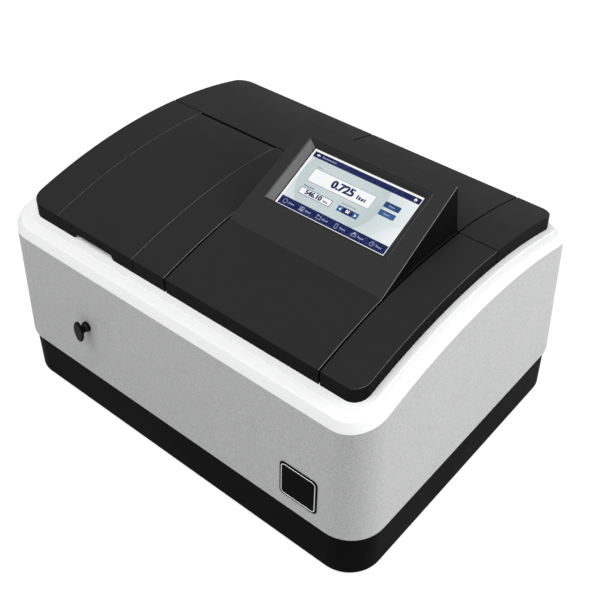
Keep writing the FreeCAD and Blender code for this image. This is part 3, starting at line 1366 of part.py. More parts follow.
os.makedirs("parts", exist_ok=True)
for make in NODES:
    shape = make()
    shape.translate(V(0, Y_SHIFT, 0))
    b = shape.BoundBox
    print("%-20s solids %2d valid %s vol %10.1f  x %7.1f %7.1f y %7.1f %7.1f z %7.1f %7.1f" % (
        make.__name__, len(shape.Solids), shape.isValid(), shape.Volume,
        b.XMin, b.XMax, b.YMin, b.YMax, b.ZMin, b.ZMax))
    shape.exportStep("parts/%s.step" % make.__name__)
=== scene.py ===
import json
import math

import bpy
from mathutils import Matrix, Vector


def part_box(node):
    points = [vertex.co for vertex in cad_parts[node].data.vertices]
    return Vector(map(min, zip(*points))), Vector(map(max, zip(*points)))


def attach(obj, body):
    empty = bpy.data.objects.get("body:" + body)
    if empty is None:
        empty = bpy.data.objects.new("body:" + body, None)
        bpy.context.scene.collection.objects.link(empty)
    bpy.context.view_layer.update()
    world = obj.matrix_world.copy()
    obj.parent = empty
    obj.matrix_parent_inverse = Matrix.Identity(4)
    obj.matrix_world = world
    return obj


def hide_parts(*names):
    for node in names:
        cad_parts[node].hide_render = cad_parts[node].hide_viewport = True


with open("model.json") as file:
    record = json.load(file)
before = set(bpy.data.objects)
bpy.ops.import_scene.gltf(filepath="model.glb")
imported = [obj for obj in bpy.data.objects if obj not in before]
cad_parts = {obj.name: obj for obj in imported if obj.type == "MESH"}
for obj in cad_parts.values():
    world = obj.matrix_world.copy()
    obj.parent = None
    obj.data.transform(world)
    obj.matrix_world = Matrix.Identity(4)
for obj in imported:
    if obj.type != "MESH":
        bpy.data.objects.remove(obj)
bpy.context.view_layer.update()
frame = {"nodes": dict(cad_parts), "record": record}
MM = 0.001

TRAY_LOW, TRAY_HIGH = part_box("base_tray")
MIDDLE = (TRAY_LOW + TRAY_HIGH) / 2

# The lit picture, in millimetres from the display module's lower left corner
LCD_SIDE = 1.4
LCD_FOOT = 0.4
PICTURE_W = 127.0
PICTURE_H = 68.4

# Its plates' thickness, and the height of each layer over the module, in millimetres
PLATE = 0.03
ON_BACKDROP = 0.03
ON_BAR = 0.08
ON_EDGE = 0.10
ON_CELL_DIGITS = 0.13
ON_MARK = 0.14
ON_ARROW = 0.15
ON_INK = 0.16
ON_DOOR = 0.18
ON_ICON_BAR = 0.22
INNER_STEP = 0.04


def display_face():
    """The display module's upper face: its lower left corner and its slope."""
    mesh = frame["nodes"]["lcd_module"].data
    face = max((p for p in mesh.polygons if p.normal.z > 0.5), key=lambda p: p.area)
    slope = math.atan2(-face.normal.y, face.normal.z)
    along = Vector((0, math.cos(slope), math.sin(slope)))
    out = Vector((0, -math.sin(slope), math.cos(slope)))
    height = mesh.vertices[face.vertices[0]].co.dot(out)
    rim = [v.co for v in mesh.vertices if abs(v.co.dot(out) - height) < 0.01 * MM]
    left = min(p.x for p in rim)
    foot = min(p.dot(along) for p in rim)
    return Vector((left, 0, 0)) + along * foot + out * height, slope


DISPLAY_CORNER, SLOPE = display_face()
DISPLAY_OUT = Vector((0, -math.sin(SLOPE), math.cos(SLOPE)))


# Working by hand: select, add, shape, apply

def nothing_selected():
    if bpy.context.object and bpy.context.object.mode != "OBJECT":
        bpy.ops.object.mode_set(mode="OBJECT")
    bpy.ops.object.select_all(action="DESELECT")


def pick(obj):
    nothing_selected()
    obj.select_set(True)
    bpy.context.view_layer.objects.active = obj


def settle(obj):
    pick(obj)
    bpy.ops.object.transform_apply(location=True, rotation=True, scale=True)


def edit(obj, mode="FACE"):
    pick(obj)
    bpy.ops.object.mode_set(mode="EDIT")
    bpy.ops.mesh.select_mode(type=mode)


def leave_edit():
    bpy.ops.object.mode_set(mode="OBJECT")


def apply_modifier(obj, kind, **settings):
    pick(obj)
    modifier = obj.modifiers.new(kind.title(), kind)
    for key, value in settings.items():
        setattr(modifier, key, value)
    bpy.ops.object.modifier_apply(modifier=modifier.name)


def thicken(height):
    """Makes the selected flat shape a closed plate of that height, and leaves edit mode."""
    bpy.ops.mesh.extrude_region_move(TRANSFORM_OT_translate={"value": (0, 0, height)})
    bpy.ops.mesh.select_all(action="SELECT")
    bpy.ops.mesh.normals_make_consistent(inside=False)
    leave_edit()


def finish_piece(obj, body, material):
    settle(obj)
    obj.data.materials.clear()
    obj.data.materials.append(material)
    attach(obj, body)
    return obj


# Materials

def shader(name):
    material = bpy.data.materials.new(name)
    material.use_nodes = True
    tree = material.node_tree
    tree.nodes.clear()
    out = tree.nodes.new("ShaderNodeOutputMaterial")
    skin = tree.nodes.new("ShaderNodeBsdfPrincipled")
    tree.links.new(skin.outputs["BSDF"], out.inputs["Surface"])
    return material, tree, skin


def coordinates(tree, scale=(1, 1, 1)):
    where = tree.nodes.new("ShaderNodeTexCoord")
    mapping = tree.nodes.new("ShaderNodeMapping")
    mapping.inputs["Scale"].default_value = scale
    tree.links.new(where.outputs["Object"], mapping.inputs["Vector"])
    return mapping.outputs["Vector"]


def noise(tree, vector, scale, detail=2.0, rough=0.5):
    node = tree.nodes.new("ShaderNodeTexNoise")
    node.inputs["Scale"].default_value = scale
    node.inputs["Detail"].default_value = detail
    node.inputs["Roughness"].default_value = rough
    tree.links.new(vector, node.inputs["Vector"])
    return node.outputs["Fac"]


def spread(tree, value, low, high, start=0.3, end=0.7):
    node = tree.nodes.new("ShaderNodeMapRange")
    node.inputs["From Min"].default_value = start
    node.inputs["From Max"].default_value = end
    node.inputs["To Min"].default_value = low
    node.inputs["To Max"].default_value = high
    tree.links.new(value, node.inputs["Value"])
    return node.outputs["Result"]


def two_tone(tree, value, dark, light, start=0.35, end=0.65):
    ramp = tree.nodes.new("ShaderNodeValToRGB")
    ramp.color_ramp.elements[0].position = start
    ramp.color_ramp.elements[0].color = (*dark, 1)
    ramp.color_ramp.elements[1].position = end
    ramp.color_ramp.elements[1].color = (*light, 1)
    tree.links.new(value, ramp.inputs["Fac"])
    return ramp.outputs["Color"]


def raise_bumps(tree, skin, height, strength, distance):
    bump = tree.nodes.new("ShaderNodeBump")
    bump.inputs["Strength"].default_value = strength
    bump.inputs["Distance"].default_value = distance
    tree.links.new(height, bump.inputs["Height"])
    tree.links.new(bump.outputs["Normal"], skin.inputs["Normal"])


BLOTCH = 14.0


def grained(name, colour, rough, grain=900.0, height=0.25, deep=0.00012, metal=0.0, gloss=0.5,
            vary=0.06, stretch=(1, 1, 1)):
    """Paint, plastic or metal: a fine grain in its bumps and its tone, a broad change in its sheen."""
    material, tree, skin = shader(name)
    vector = coordinates(tree, stretch)
    fine = noise(tree, vector, grain, 3.0, 0.6)
    broad = noise(tree, coordinates(tree), BLOTCH)
    dark = tuple(c * (1 - vary) for c in colour)
    light = tuple(min(c * (1 + vary), 1.0) for c in colour)
    tone = two_tone(tree, fine, dark, light)
    tree.links.new(tone, skin.inputs["Base Color"])
    sheen = spread(tree, broad, rough * 0.92, min(rough * 1.08, 1.0))
    tree.links.new(sheen, skin.inputs["Roughness"])
    skin.inputs["Metallic"].default_value = metal
    skin.inputs["Specular IOR Level"].default_value = gloss
    raise_bumps(tree, skin, fine, height, deep)
    return material


def clear_glass(name, colour, rough=0.02, gloss=0.5, bend=1.46):
    material, tree, skin = shader(name)
    broad = noise(tree, coordinates(tree), 30.0)
    tree.links.new(spread(tree, broad, rough * 0.6, rough * 1.4), skin.inputs["Roughness"])
    skin.inputs["Base Color"].default_value = (*colour, 1)
    skin.inputs["Transmission Weight"].default_value = 1.0
    skin.inputs["Specular IOR Level"].default_value = gloss
    skin.inputs["IOR"].default_value = bend
    return material


def circuit(name, mask, copper):
    material, tree, skin = shader(name)
    tracks = tree.nodes.new("ShaderNodeTexBrick")
    tracks.inputs["Scale"].default_value = 90.0
    tracks.inputs["Mortar Size"].default_value = 0.03
    tracks.inputs["Color1"].default_value = (*mask, 1)
    tracks.inputs["Color2"].default_value = (*[c * 0.8 for c in mask], 1)
    tracks.inputs["Mortar"].default_value = (*copper, 1)
    tree.links.new(coordinates(tree), tracks.inputs["Vector"])
    tree.links.new(tracks.outputs["Color"], skin.inputs["Base Color"])
    skin.inputs["Roughness"].default_value = 0.35
    raise_bumps(tree, skin, tracks.outputs["Fac"], 0.3, 0.0001)
    return material


PAINT = grained("light_grey_textured_paint", (0.61, 0.61, 0.61), 0.6, 560.0, 0.40, 0.00022,
                gloss=0.25, vary=0.11)
# Painted light: the shoulder ring is given a white far lighter than the walls' grey, standing in for the
# strong light from above on the ledge
WHITE = grained("shoulder_paint_painted_top_light", (0.97, 0.97, 0.97), 0.5, 900.0, 0.10, 0.00006,
                gloss=0.3, vary=0.015)
COVER = grained("black_grained_plastic", (0.0228, 0.0228, 0.0231), 0.55, 1500.0, 0.10, 0.00006,
                gloss=0.03, vary=0.10)
# Painted shade: the covers' side walls and seam walls are given a much darker black than their tops
COVER_PAINTED_SIDE_SHADE = grained("black_plastic_painted_side_shade", (0.0042, 0.0042, 0.0043), 0.55, 1500.0, 0.08, 0.00005,
                     gloss=0.02, vary=0.10)
# Painted shade: the covers' front walls are given a darker black than their tops
COVER_PAINTED_FRONT_SHADE = grained("black_plastic_painted_front_shade", (0.0085, 0.0085, 0.0087), 0.55, 1500.0, 0.08, 0.00005,
                      gloss=0.02, vary=0.10)
# Painted highlight: a light grey put on the covers' upper right-hand bevelled edges
COVER_PAINTED_EDGE_HIGHLIGHT = grained("black_plastic_painted_edge_highlight", (0.17, 0.17, 0.172), 0.40, 1500.0, 0.06, 0.00004,
                     gloss=0.30, vary=0.06)
# Painted sheen: the console's sloping face round the display is given a lighter black than the tops
COVER_PAINTED_SLOPE_SHEEN = grained("black_display_surround_painted_sheen", (0.031, 0.031, 0.0312), 0.5, 1700.0, 0.08, 0.00005,
                      gloss=0.04, vary=0.08)
BASE = grained("black_base_plastic", (0.0045, 0.0045, 0.0047), 0.5, 1300.0, 0.08, 0.00006,
               gloss=0.008, vary=0.15)
BEZEL = grained("smooth_black_bezel", (0.018, 0.018, 0.0185), 0.32, 2200.0, 0.04, 0.00003,
                gloss=0.12, vary=0.05)
# Painted highlight: a light grey put on the bezel's left chamfer, which faces right
BEZEL_PAINTED_CHAMFER_HIGHLIGHT = grained("bezel_chamfer_painted_highlight", (0.11, 0.11, 0.112), 0.32, 2200.0, 0.04, 0.00003,
                     gloss=0.3, vary=0.05)
KNOB = grained("black_knob", (0.0055, 0.0055, 0.006), 0.38, 1800.0, 0.08, 0.00005, gloss=0.03, vary=0.1)
RUBBER = grained("black_rubber", (0.012, 0.012, 0.012), 0.75, 1100.0, 0.3, 0.0001, gloss=0.2)
STEEL = grained("brushed_steel", (0.52, 0.52, 0.53), 0.3, 260.0, 0.12, 0.00003,
                metal=1.0, stretch=(1, 9, 1))
CHROME = grained("polished_rod", (0.66, 0.66, 0.68), 0.14, 300.0, 0.05, 0.00002,
                 metal=1.0, stretch=(9, 1, 9))
CAST = grained("cast_alloy", (0.42, 0.43, 0.44), 0.48, 420.0, 0.5, 0.0003, metal=0.85)
ANODISED = grained("black_anodised", (0.014, 0.014, 0.015), 0.5, 900.0, 0.3, 0.0001,
                   metal=0.3, gloss=0.3)
SHEET = grained("zinc_sheet", (0.5, 0.51, 0.53), 0.38, 60.0, 0.05, 0.00003, metal=1.0, vary=0.12)
PANEL = grained("grey_panel_paint", (0.30, 0.305, 0.31), 0.5, 800.0, 0.35, 0.0002, gloss=0.4)
DECK = grained("deck_paint", (0.09, 0.092, 0.095), 0.55, 800.0, 0.3, 0.0002, gloss=0.4)
MOTOR = grained("motor_black", (0.02, 0.02, 0.02), 0.42, 700.0, 0.3, 0.0001)
CERAMIC = grained("ceramic_socket", (0.72, 0.70, 0.64), 0.7, 900.0, 0.4, 0.0001)
FITTING = grained("black_fitting", (0.010, 0.010, 0.011), 0.34, 1600.0, 0.08, 0.00004)
MIRROR = grained("coated_mirror", (0.82, 0.84, 0.86), 0.05, 200.0, 0.02, 0.00001, metal=1.0, vary=0.02)
GRATING = grained("ruled_grating", (0.62, 0.60, 0.74), 0.16, 2400.0, 0.3, 0.00002,
                  metal=1.0, stretch=(9, 1, 0.2))
BADGE = grained("badge_black", (0.004, 0.004, 0.004), 0.3, 1500.0, 0.06, 0.00004, gloss=0.006)
SILVER = grained("badge_border_silver", (0.55, 0.56, 0.57), 0.28, 900.0, 0.1, 0.00003, metal=1.0)
QUARTZ = clear_glass("clear_quartz", (0.93, 0.96, 1.0))
GLASS = clear_glass("touch_cover_glass", (1.0, 1.0, 1.0), 0.01, 0.3, 1.05)
AMBER = clear_glass("filter_glass_amber", (0.9, 0.42, 0.08))
BOARD = circuit("green_circuit_board", (0.015, 0.10, 0.045), (0.10, 0.22, 0.08))
LCD_CASE = grained("lcd_metal_case", (0.4, 0.4, 0.41), 0.35, 500.0, 0.1, 0.00004, metal=1.0)

NODE_MATERIALS = {
    "base_tray": BASE, "rubber_feet": RUBBER, "housing_shell": PAINT, "badge_plate": BADGE,
    "shoulder_ring": WHITE, "support_deck": DECK, "left_cover": COVER, "mid_cover": COVER,
    "console_cover": COVER, "right_cover": COVER, "rear_left_cover": COVER, "rear_centre_cover": COVER,
    "rear_right_cover": COVER, "screen_bezel": BEZEL, "touch_glass": GLASS, "lcd_module": LCD_CASE,
    "display_board": BOARD, "sample_lid": COVER, "lid_hinge_pin": STEEL, "lid_hinge_brackets": STEEL,
    "lid_seal": RUBBER, "compartment_tub": ANODISED, "beam_windows": QUARTZ, "changer_rails": CHROME,
    "cell_carriage": ANODISED, "pull_rod": CHROME, "pull_knob": KNOB, "rod_bush": KNOB,
    "detent_spring": STEEL, "optical_bench": CAST, "bench_posts": CAST, "mono_casting": ANODISED,
    "mono_cover": ANODISED, "slit_plates": STEEL, "mono_mirrors": MIRROR, "grating_table": CAST,
    "grating_block": GRATING, "grating_motor": MOTOR, "filter_wheel": ANODISED, "filter_glasses": AMBER,
    "filter_motor": MOTOR, "lamp_house": SHEET, "lamp_house_cover": SHEET, "tungsten_lamp": QUARTZ,
    "deuterium_lamp": QUARTZ, "lamp_sockets": CERAMIC, "lamp_mirror": MIRROR, "lamp_mirror_motor": MOTOR,
    "detector_house": CAST, "detector_board": BOARD, "power_supply": SHEET, "main_board": BOARD,
    "rear_panel": PANEL, "panel_screws": STEEL, "fan_frame": FITTING, "fan_rotor": FITTING,
    "power_inlet": FITTING, "rocker_frame": FITTING, "power_rocker": FITTING, "data_ports": STEEL,
}
for node_name, node_material in NODE_MATERIALS.items():
    node = frame["nodes"][node_name]
    node.data.materials.clear()
    node.data.materials.append(node_material)


# The skin pieces: the CAD form, merged, with its edges eased so that they catch the light, plus painted
# highlights on right-hand edges, painted shade on the covers' sides and fronts, and a painted sheen on the
# console's slope

BODIES = frame["record"]["behaviour"]["bodies"]
NODE_BODY = {name: body for body, names in BODIES.items() for name in names}

# Width of the eased edges, in millimetres
EASED = {
    "left_cover": 0.35, "mid_cover": 0.35, "console_cover": 0.4, "right_cover": 0.35,
    "rear_left_cover": 0.35, "rear_centre_cover": 0.35, "rear_right_cover": 0.35,
    "sample_lid": 0.35, "screen_bezel": 0.25, "housing_shell": 0.3, "shoulder_ring": 0.3,
    "base_tray": 0.5, "pull_knob": 0.2,
}
EASE_SEGMENTS = 2
EASE_ANGLE = math.radians(35)
SMOOTH_ANGLE = math.radians(40)
FLAT_ANGLE = math.radians(0.5)

# Vertices nearer than this, in metres, are one
MERGE = 0.00002
COVERED = [name for name in EASED if name.endswith("cover")] + ["sample_lid"]
PAINTED_HIGHLIGHT_COVERS = [name for name in COVERED if not name.startswith("rear")]

# Covers whose left wall is drawn in, in millimetres, so that the seam shows as wide as on the real one
DRAWN_IN = {"console_cover": 0.8, "right_cover": 0.8}

# The covers' faces: top, bevelled edge (painted highlight), skirt (painted shade), front wall (painted
# shade), and the slope round the display (painted sheen)
TOP, EDGE, SKIRT, FRONT, SURROUND = range(5)


def draw_in(piece, by):
    """Moves the cover's outermost left wall towards its middle."""
    wall = min(v.co.x for v in piece.data.vertices)
    edit(piece, "VERT")
    bpy.ops.mesh.select_all(action="DESELECT")
    leave_edit()
    for vertex in piece.data.vertices:
        vertex.select = abs(vertex.co.x - wall) < 0.05 * MM
    edit(piece, "VERT")
    bpy.ops.transform.translate(value=(by * MM, 0, 0))
    leave_edit()


def face_finish(piece, wanted, index):
    """Gives the faces that wanted(face) picks the material of that index."""
    for face in piece.data.polygons:
        if wanted(face):
            face.material_index = index


def on_slope(face):
    return face.normal.angle(DISPLAY_OUT) < math.radians(1)


def wedge_foot():
    """How far to the front the console's sloping face reaches."""
    mesh = frame["nodes"]["console_cover"].data
    slope = [face for face in mesh.polygons if on_slope(face)]
    return min(mesh.vertices[k].co.y for face in slope for k in face.vertices)


WEDGE_FOOT = wedge_foot()


def gets_painted_highlight(face, node_name):
    """Whether a face gets the painted highlight: the covers' upper right-hand edges, but not the console's
    where its wedge hides them.
    """
    if node_name not in PAINTED_HIGHLIGHT_COVERS or face.normal.x < 0.25 or face.normal.z < 0.1:
        return False
    if node_name != "console_cover" or face.center.y < WEDGE_FOOT:
        return True
    return face.center.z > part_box("right_cover")[1].z + MM


def eased_copy(node_name, width):
    source = frame["nodes"][node_name]
    nothing_selected()
    piece = source.copy()
    piece.data = source.data.copy()
    piece.parent = None
    piece.name = node_name + "_skin"
    for key in [k for k in piece.keys() if k.startswith("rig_")]:
        del piece[key]
    bpy.context.scene.collection.objects.link(piece)
    edit(piece, "VERT")
    bpy.ops.mesh.select_all(action="SELECT")
    bpy.ops.mesh.remove_doubles(threshold=MERGE)
    bpy.ops.mesh.dissolve_limited(angle_limit=FLAT_ANGLE)
    leave_edit()
    if node_name in DRAWN_IN:
        draw_in(piece, DRAWN_IN[node_name])
    covered = node_name in COVERED
    if covered:
        piece.data.materials.append(COVER_PAINTED_EDGE_HIGHLIGHT)
        piece.data.materials.append(COVER_PAINTED_SIDE_SHADE)
    apply_modifier(piece, "BEVEL", width=width, segments=EASE_SEGMENTS, limit_method="ANGLE",
                   angle_limit=EASE_ANGLE, use_clamp_overlap=node_name != "console_cover",
                   material=EDGE if covered else TOP)
    if covered:
        # Painted highlight: only the upper right-hand bevels keep the light grey edge material, the rest go
        # back to the top's black
        painted_highlight_faces = {face.index for face in piece.data.polygons if gets_painted_highlight(face, node_name)}
        face_finish(piece, lambda face: face.material_index == EDGE and face.index not in painted_highlight_faces, TOP)
        # Painted shade: the covers' upright faces take the darker side black
        face_finish(piece, lambda face: face.material_index == TOP and abs(face.normal.z) < 0.4, SKIRT)
        # Painted shade: the front-facing upright faces take the darker front black
        piece.data.materials.append(COVER_PAINTED_FRONT_SHADE)
        face_finish(piece, lambda face: face.material_index == SKIRT and face.normal.y < -0.5, FRONT)
    if node_name == "console_cover":
        # Painted sheen: the sloping faces take the lighter black
        piece.data.materials.append(COVER_PAINTED_SLOPE_SHEEN)
        face_finish(piece, on_slope, SURROUND)
    if node_name == "screen_bezel":
        # Painted highlight: the right-facing chamfer faces take the light grey
        piece.data.materials.append(BEZEL_PAINTED_CHAMFER_HIGHLIGHT)
        face_finish(piece, lambda face: face.normal.x > 0.3, 1)
    pick(piece)
    bpy.ops.object.shade_smooth_by_angle(angle=SMOOTH_ANGLE)
    apply_modifier(piece, "WEIGHTED_NORMAL", mode="FACE_AREA", weight=90, keep_sharp=True)
    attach(piece, NODE_BODY[node_name])
    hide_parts(node_name)


# The lit picture on the display

def on_screen(obj, level):
    place = Matrix.Translation(DISPLAY_CORNER) @ Matrix.Rotation(SLOPE, 4, "X")
    obj.matrix_world = place @ Matrix.Translation((LCD_SIDE * MM, LCD_FOOT * MM, level)) @ obj.matrix_world
    settle(obj)


def plate_on_screen(obj, level, material):
    """Ends the editing of a flat shape: a thin plate of the picture, on its layer."""
    thicken(PLATE * MM)
    on_screen(obj, level * MM)
    return finish_piece(obj, "instrument", material)


def pane(name, u0, u1, v0, v1, level, material, corner=0.0):
    nothing_selected()
    bpy.ops.mesh.primitive_plane_add(size=1, location=(0, 0, 0))
    obj = bpy.context.object
    obj.name = name
    edit(obj, "VERT")
    bpy.ops.mesh.select_all(action="SELECT")
    bpy.ops.transform.resize(value=((u1 - u0) * MM, (v1 - v0) * MM, 1))
    bpy.ops.transform.translate(value=((u0 + u1) / 2 * MM, (v0 + v1) / 2 * MM, 0))
    if corner:
        bpy.ops.mesh.bevel(offset=corner * MM, segments=5, affect="VERTICES")
    bpy.ops.mesh.select_mode(type="FACE")
    bpy.ops.mesh.select_all(action="SELECT")
    return plate_on_screen(obj, level, material)


def ring(name, u, v, radius, hole, level, material):
    nothing_selected()
    bpy.ops.mesh.primitive_circle_add(vertices=28, radius=radius * MM, fill_type="NGON",
                                      location=(u * MM, v * MM, 0))
    obj = bpy.context.object
    obj.name = name
    edit(obj)
    bpy.ops.mesh.select_all(action="SELECT")
    bpy.ops.mesh.inset(thickness=(radius - hole) * MM)
    bpy.ops.mesh.delete(type="FACE")
    bpy.ops.mesh.select_all(action="SELECT")
    return plate_on_screen(obj, level, material)


# The figures' weight: how far the copies stand apart and how far each swells, as shares of the size,
# then how far one copy lies over the next and how far each is raised, in millimetres
FIGURE_APART = 0.040
FIGURE_SWELL = 0.026
FIGURE_STEP = 0.004
FIGURE_RAISE = 0.02


def digits(name, text, u, v, size, level, material):
    """Upright figures, made heavy by three copies side by side."""
    copies = []
    for k in (-1, 0, 1):
        across = u + k * FIGURE_APART * size
        copies.append(figures(name, text, across, v, size, level + FIGURE_STEP * k, material))
    joined(name, copies)


def figures(name, text, u, v, size, level, material):
    nothing_selected()
    bpy.ops.object.text_add(location=(u * MM, v * MM, 0))
    obj = bpy.context.object
    obj.name = name
    obj.data.body = text
    obj.data.size = size * MM
    obj.data.align_x = "CENTER"
    obj.data.align_y = "CENTER"
    obj.data.extrude = FIGURE_RAISE * MM
    obj.data.offset = FIGURE_SWELL * size * MM
    bpy.ops.object.convert(target="MESH")
    on_screen(obj, level * MM)
    return finish_piece(obj, "instrument", material)


def joined(name, pieces):
    nothing_selected()
    for piece in pieces:
        piece.select_set(True)
    bpy.context.view_layer.objects.active = pieces[0]
    bpy.ops.object.join()
    pieces[0].name = name


def on_display(tree, shift=(0, 0)):
    """Coordinates that lie flat on the display, in metres from the picture's lower left corner."""
    where = tree.nodes.new("ShaderNodeTexCoord")
    mapping = tree.nodes.new("ShaderNodeMapping")
    mapping.vector_type = "TEXTURE"
    mapping.inputs["Location"].default_value = DISPLAY_CORNER
    mapping.inputs["Rotation"].default_value = (SLOPE, 0, 0)
    tree.links.new(where.outputs["Object"], mapping.inputs["Vector"])
    flat = tree.nodes.new("ShaderNodeMapping")
    flat.inputs["Location"].default_value = (-(LCD_SIDE + shift[0]) * MM, -(LCD_FOOT + shift[1]) * MM, 0)
    tree.links.new(mapping.outputs["Vector"], flat.inputs["Vector"])
    return flat.outputs["Vector"]


def glowing(tree, skin, colour):
    skin.inputs["Base Color"].default_value = (0.01, 0.01, 0.01, 1)
    skin.inputs["Specular IOR Level"].default_value = 0.0
    skin.inputs["Roughness"].default_value = 0.9
    tree.links.new(colour, skin.inputs["Emission Color"])
    skin.inputs["Emission Strength"].default_value = 1.0


PIXEL_DIM = 0.98


def lit(name, colour):
    """A colour of the display with its faint dots."""
    material, tree, skin = shader(name)
    pixel = tree.nodes.new("ShaderNodeTexVoronoi")
    pixel.inputs["Scale"].default_value = 2600.0
    tree.links.new(on_display(tree), pixel.inputs["Vector"])
    dim = tuple(c * PIXEL_DIM for c in colour)
    glowing(tree, skin, two_tone(tree, pixel.outputs["Distance"], dim, colour, 0.0, 0.8))
    return material


def lit_button(name, low, high, foot, top):
    """A button's blue, brighter towards its upper edge."""
    material, tree, skin = shader(name)
    split = tree.nodes.new("ShaderNodeSeparateXYZ")
    tree.links.new(on_display(tree), split.inputs["Vector"])
    rise = spread(tree, split.outputs["Y"], 0.0, 1.0, foot * MM, top * MM)
    glowing(tree, skin, two_tone(tree, rise, low, high, 0.0, 1.0))
    return material


def rings(tree, centre, stops):
    """Soft rings of colour about a place on the display, each stop a radius in millimetres."""
    far = tree.nodes.new("ShaderNodeVectorMath")
    far.operation = "LENGTH"
    tree.links.new(on_display(tree, centre), far.inputs[0])
    reach = stops[-1][0]
    ramp = tree.nodes.new("ShaderNodeValToRGB")
    elements = ramp.color_ramp.elements
    elements[0].position = stops[0][0] / reach
    elements[0].color = (*stops[0][1], 1)
    elements[1].position = 1.0
    elements[1].color = (*stops[-1][1], 1)
    for radius, colour in stops[1:-1]:
        elements.new(radius / reach).color = (*colour, 1)
    tree.links.new(spread(tree, far.outputs["Value"], 0.0, 1.0, 0.0, reach * MM), ramp.inputs["Fac"])
    return ramp.outputs["Color"]


def backdrop_material(name):
    material, tree, skin = shader(name)
    broad = rings(tree, (50.0, 44.0), [(0.0, (0.60, 0.67, 0.675)), (30.0, (0.56, 0.64, 0.645)),
                                       (46.5, (0.53, 0.61, 0.62)), (47.5, (0.66, 0.73, 0.74)),
                                       (75.0, (0.84, 0.88, 0.89)), (110.0, (0.93, 0.95, 0.96))])
    sweep = rings(tree, (134.0, 2.0), [(0.0, (1.0, 1.0, 1.0)), (31.5, (0.97, 0.98, 0.98)),
                                       (32.5, (0.90, 0.92, 0.92)), (58.0, (0.97, 0.98, 0.98)),
                                       (59.5, (1.0, 1.0, 1.0)), (140.0, (1.0, 1.0, 1.0))])
    both = tree.nodes.new("ShaderNodeMix")
    both.data_type = "RGBA"
    both.blend_type = "MULTIPLY"
    both.inputs["Factor"].default_value = 1.0
    tree.links.new(broad, both.inputs["A"])
    tree.links.new(sweep, both.inputs["B"])
    glowing(tree, skin, both.outputs["Result"])
    return material


NAVY = lit("screen_navy", (0.006, 0.015, 0.089))
BLUE = lit_button("screen_button_blue", (0.040, 0.13, 0.30), (0.010, 0.045, 0.15), 34.0, 51.0)
ARROW_BLUE = lit("screen_arrow_blue", (0.022, 0.12, 0.30))
LIGHT = lit("screen_white", (0.93, 0.935, 0.94))
BOX_WHITE = lit("screen_box_white", (0.91, 0.92, 0.94))
INK = lit("screen_ink", (0.012, 0.018, 0.105))
PALE = lit("screen_pale_mark", (0.34, 0.38, 0.55))
GREY = lit("screen_grey_line", (0.20, 0.25, 0.31))
BACKDROP = backdrop_material("screen_soft_rings")

BORDER = 2.0
TOP_BAR = (60.1, 66.3)
FOOT_BAR = (2.1, 11.4)


def frame_bar(level):
    sides = [pane("edge_low", 0, PICTURE_W, 0, BORDER, level, LIGHT),
             pane("edge_high", 0, PICTURE_W, PICTURE_H - BORDER, PICTURE_H, level, LIGHT),
             pane("edge_left", 0, BORDER, BORDER, PICTURE_H - BORDER, level, LIGHT),
             pane("edge_right", PICTURE_W - BORDER, PICTURE_W, BORDER, PICTURE_H - BORDER, level, LIGHT)]
    joined("screen_edge", sides)


def word_marks(name, u0, u1, v, tall, level, material, slim=0.5):
    """A row of small strokes where a caption stands, with no letters in it."""
    strokes = []
    u, k = u0, 0
    while u < u1:
        wide = slim * tall * (1.0 + 0.3 * (k % 3))
        high = tall * (1.0 if k == 0 else 0.62 + 0.14 * (k % 2))
        strokes.append(pane("%s_%d" % (name, k), u, u + wide, v, v + high, level, material, 0.12 * tall))
        u += wide + 0.5 * slim * tall
        k += 1
    joined(name, strokes)


def triangle(name, u, v, wide, tall, turn, level, material):
    """A triangle wide by tall millimetres that points up, turned left by turn degrees."""
    nothing_selected()
    bpy.ops.mesh.primitive_circle_add(vertices=3, radius=MM, fill_type="NGON", location=(0, 0, 0))
    obj = bpy.context.object
    obj.name = name
    edit(obj)
    bpy.ops.mesh.select_all(action="SELECT")
    bpy.ops.transform.resize(value=(wide / math.sqrt(3), tall / 1.5, 1), center_override=(0, 0, 0))
    bpy.ops.transform.rotate(value=-math.radians(turn), orient_axis="Z", center_override=(0, 0, 0))
    bpy.ops.transform.translate(value=(u * MM, v * MM, 0))
    return plate_on_screen(obj, level, material)


def outline(name, u0, u1, v0, v1, thick, level, material, inner, corner=0.4):
    """A rounded outline: a plate with a smaller plate of the ground's colour on it."""
    pane(name, u0, u1, v0, v1, level, material, corner)
    pane(name + "_in", u0 + thick, u1 - thick, v0 + thick, v1 - thick, level + INNER_STEP, inner,
         corner * 0.6)


def home_mark(u, v):
    roof = triangle("home_roof", u, v + 0.6, 4.0, 1.9, 0, ON_MARK, LIGHT)
    walls = pane("home_walls", u - 1.2, u + 1.2, v - 1.5, v + 0.05, ON_MARK, LIGHT)
    pane("home_door", u - 0.4, u + 0.4, v - 1.5, v - 0.3, ON_DOOR, NAVY)
    joined("home_mark", [roof, walls])


def back_mark(u, v):
    head = triangle("back_head", u - 0.8, v, 2.8, 2.3, 90, ON_MARK, LIGHT)
    tail = pane("back_tail", u - 0.1, u + 2.0, v - 0.5, v + 0.5, ON_MARK, LIGHT)
    joined("back_mark", [head, tail])


ICON_PLACES = (8.8, 28.6, 48.8, 69.1, 89.4, 109.6)


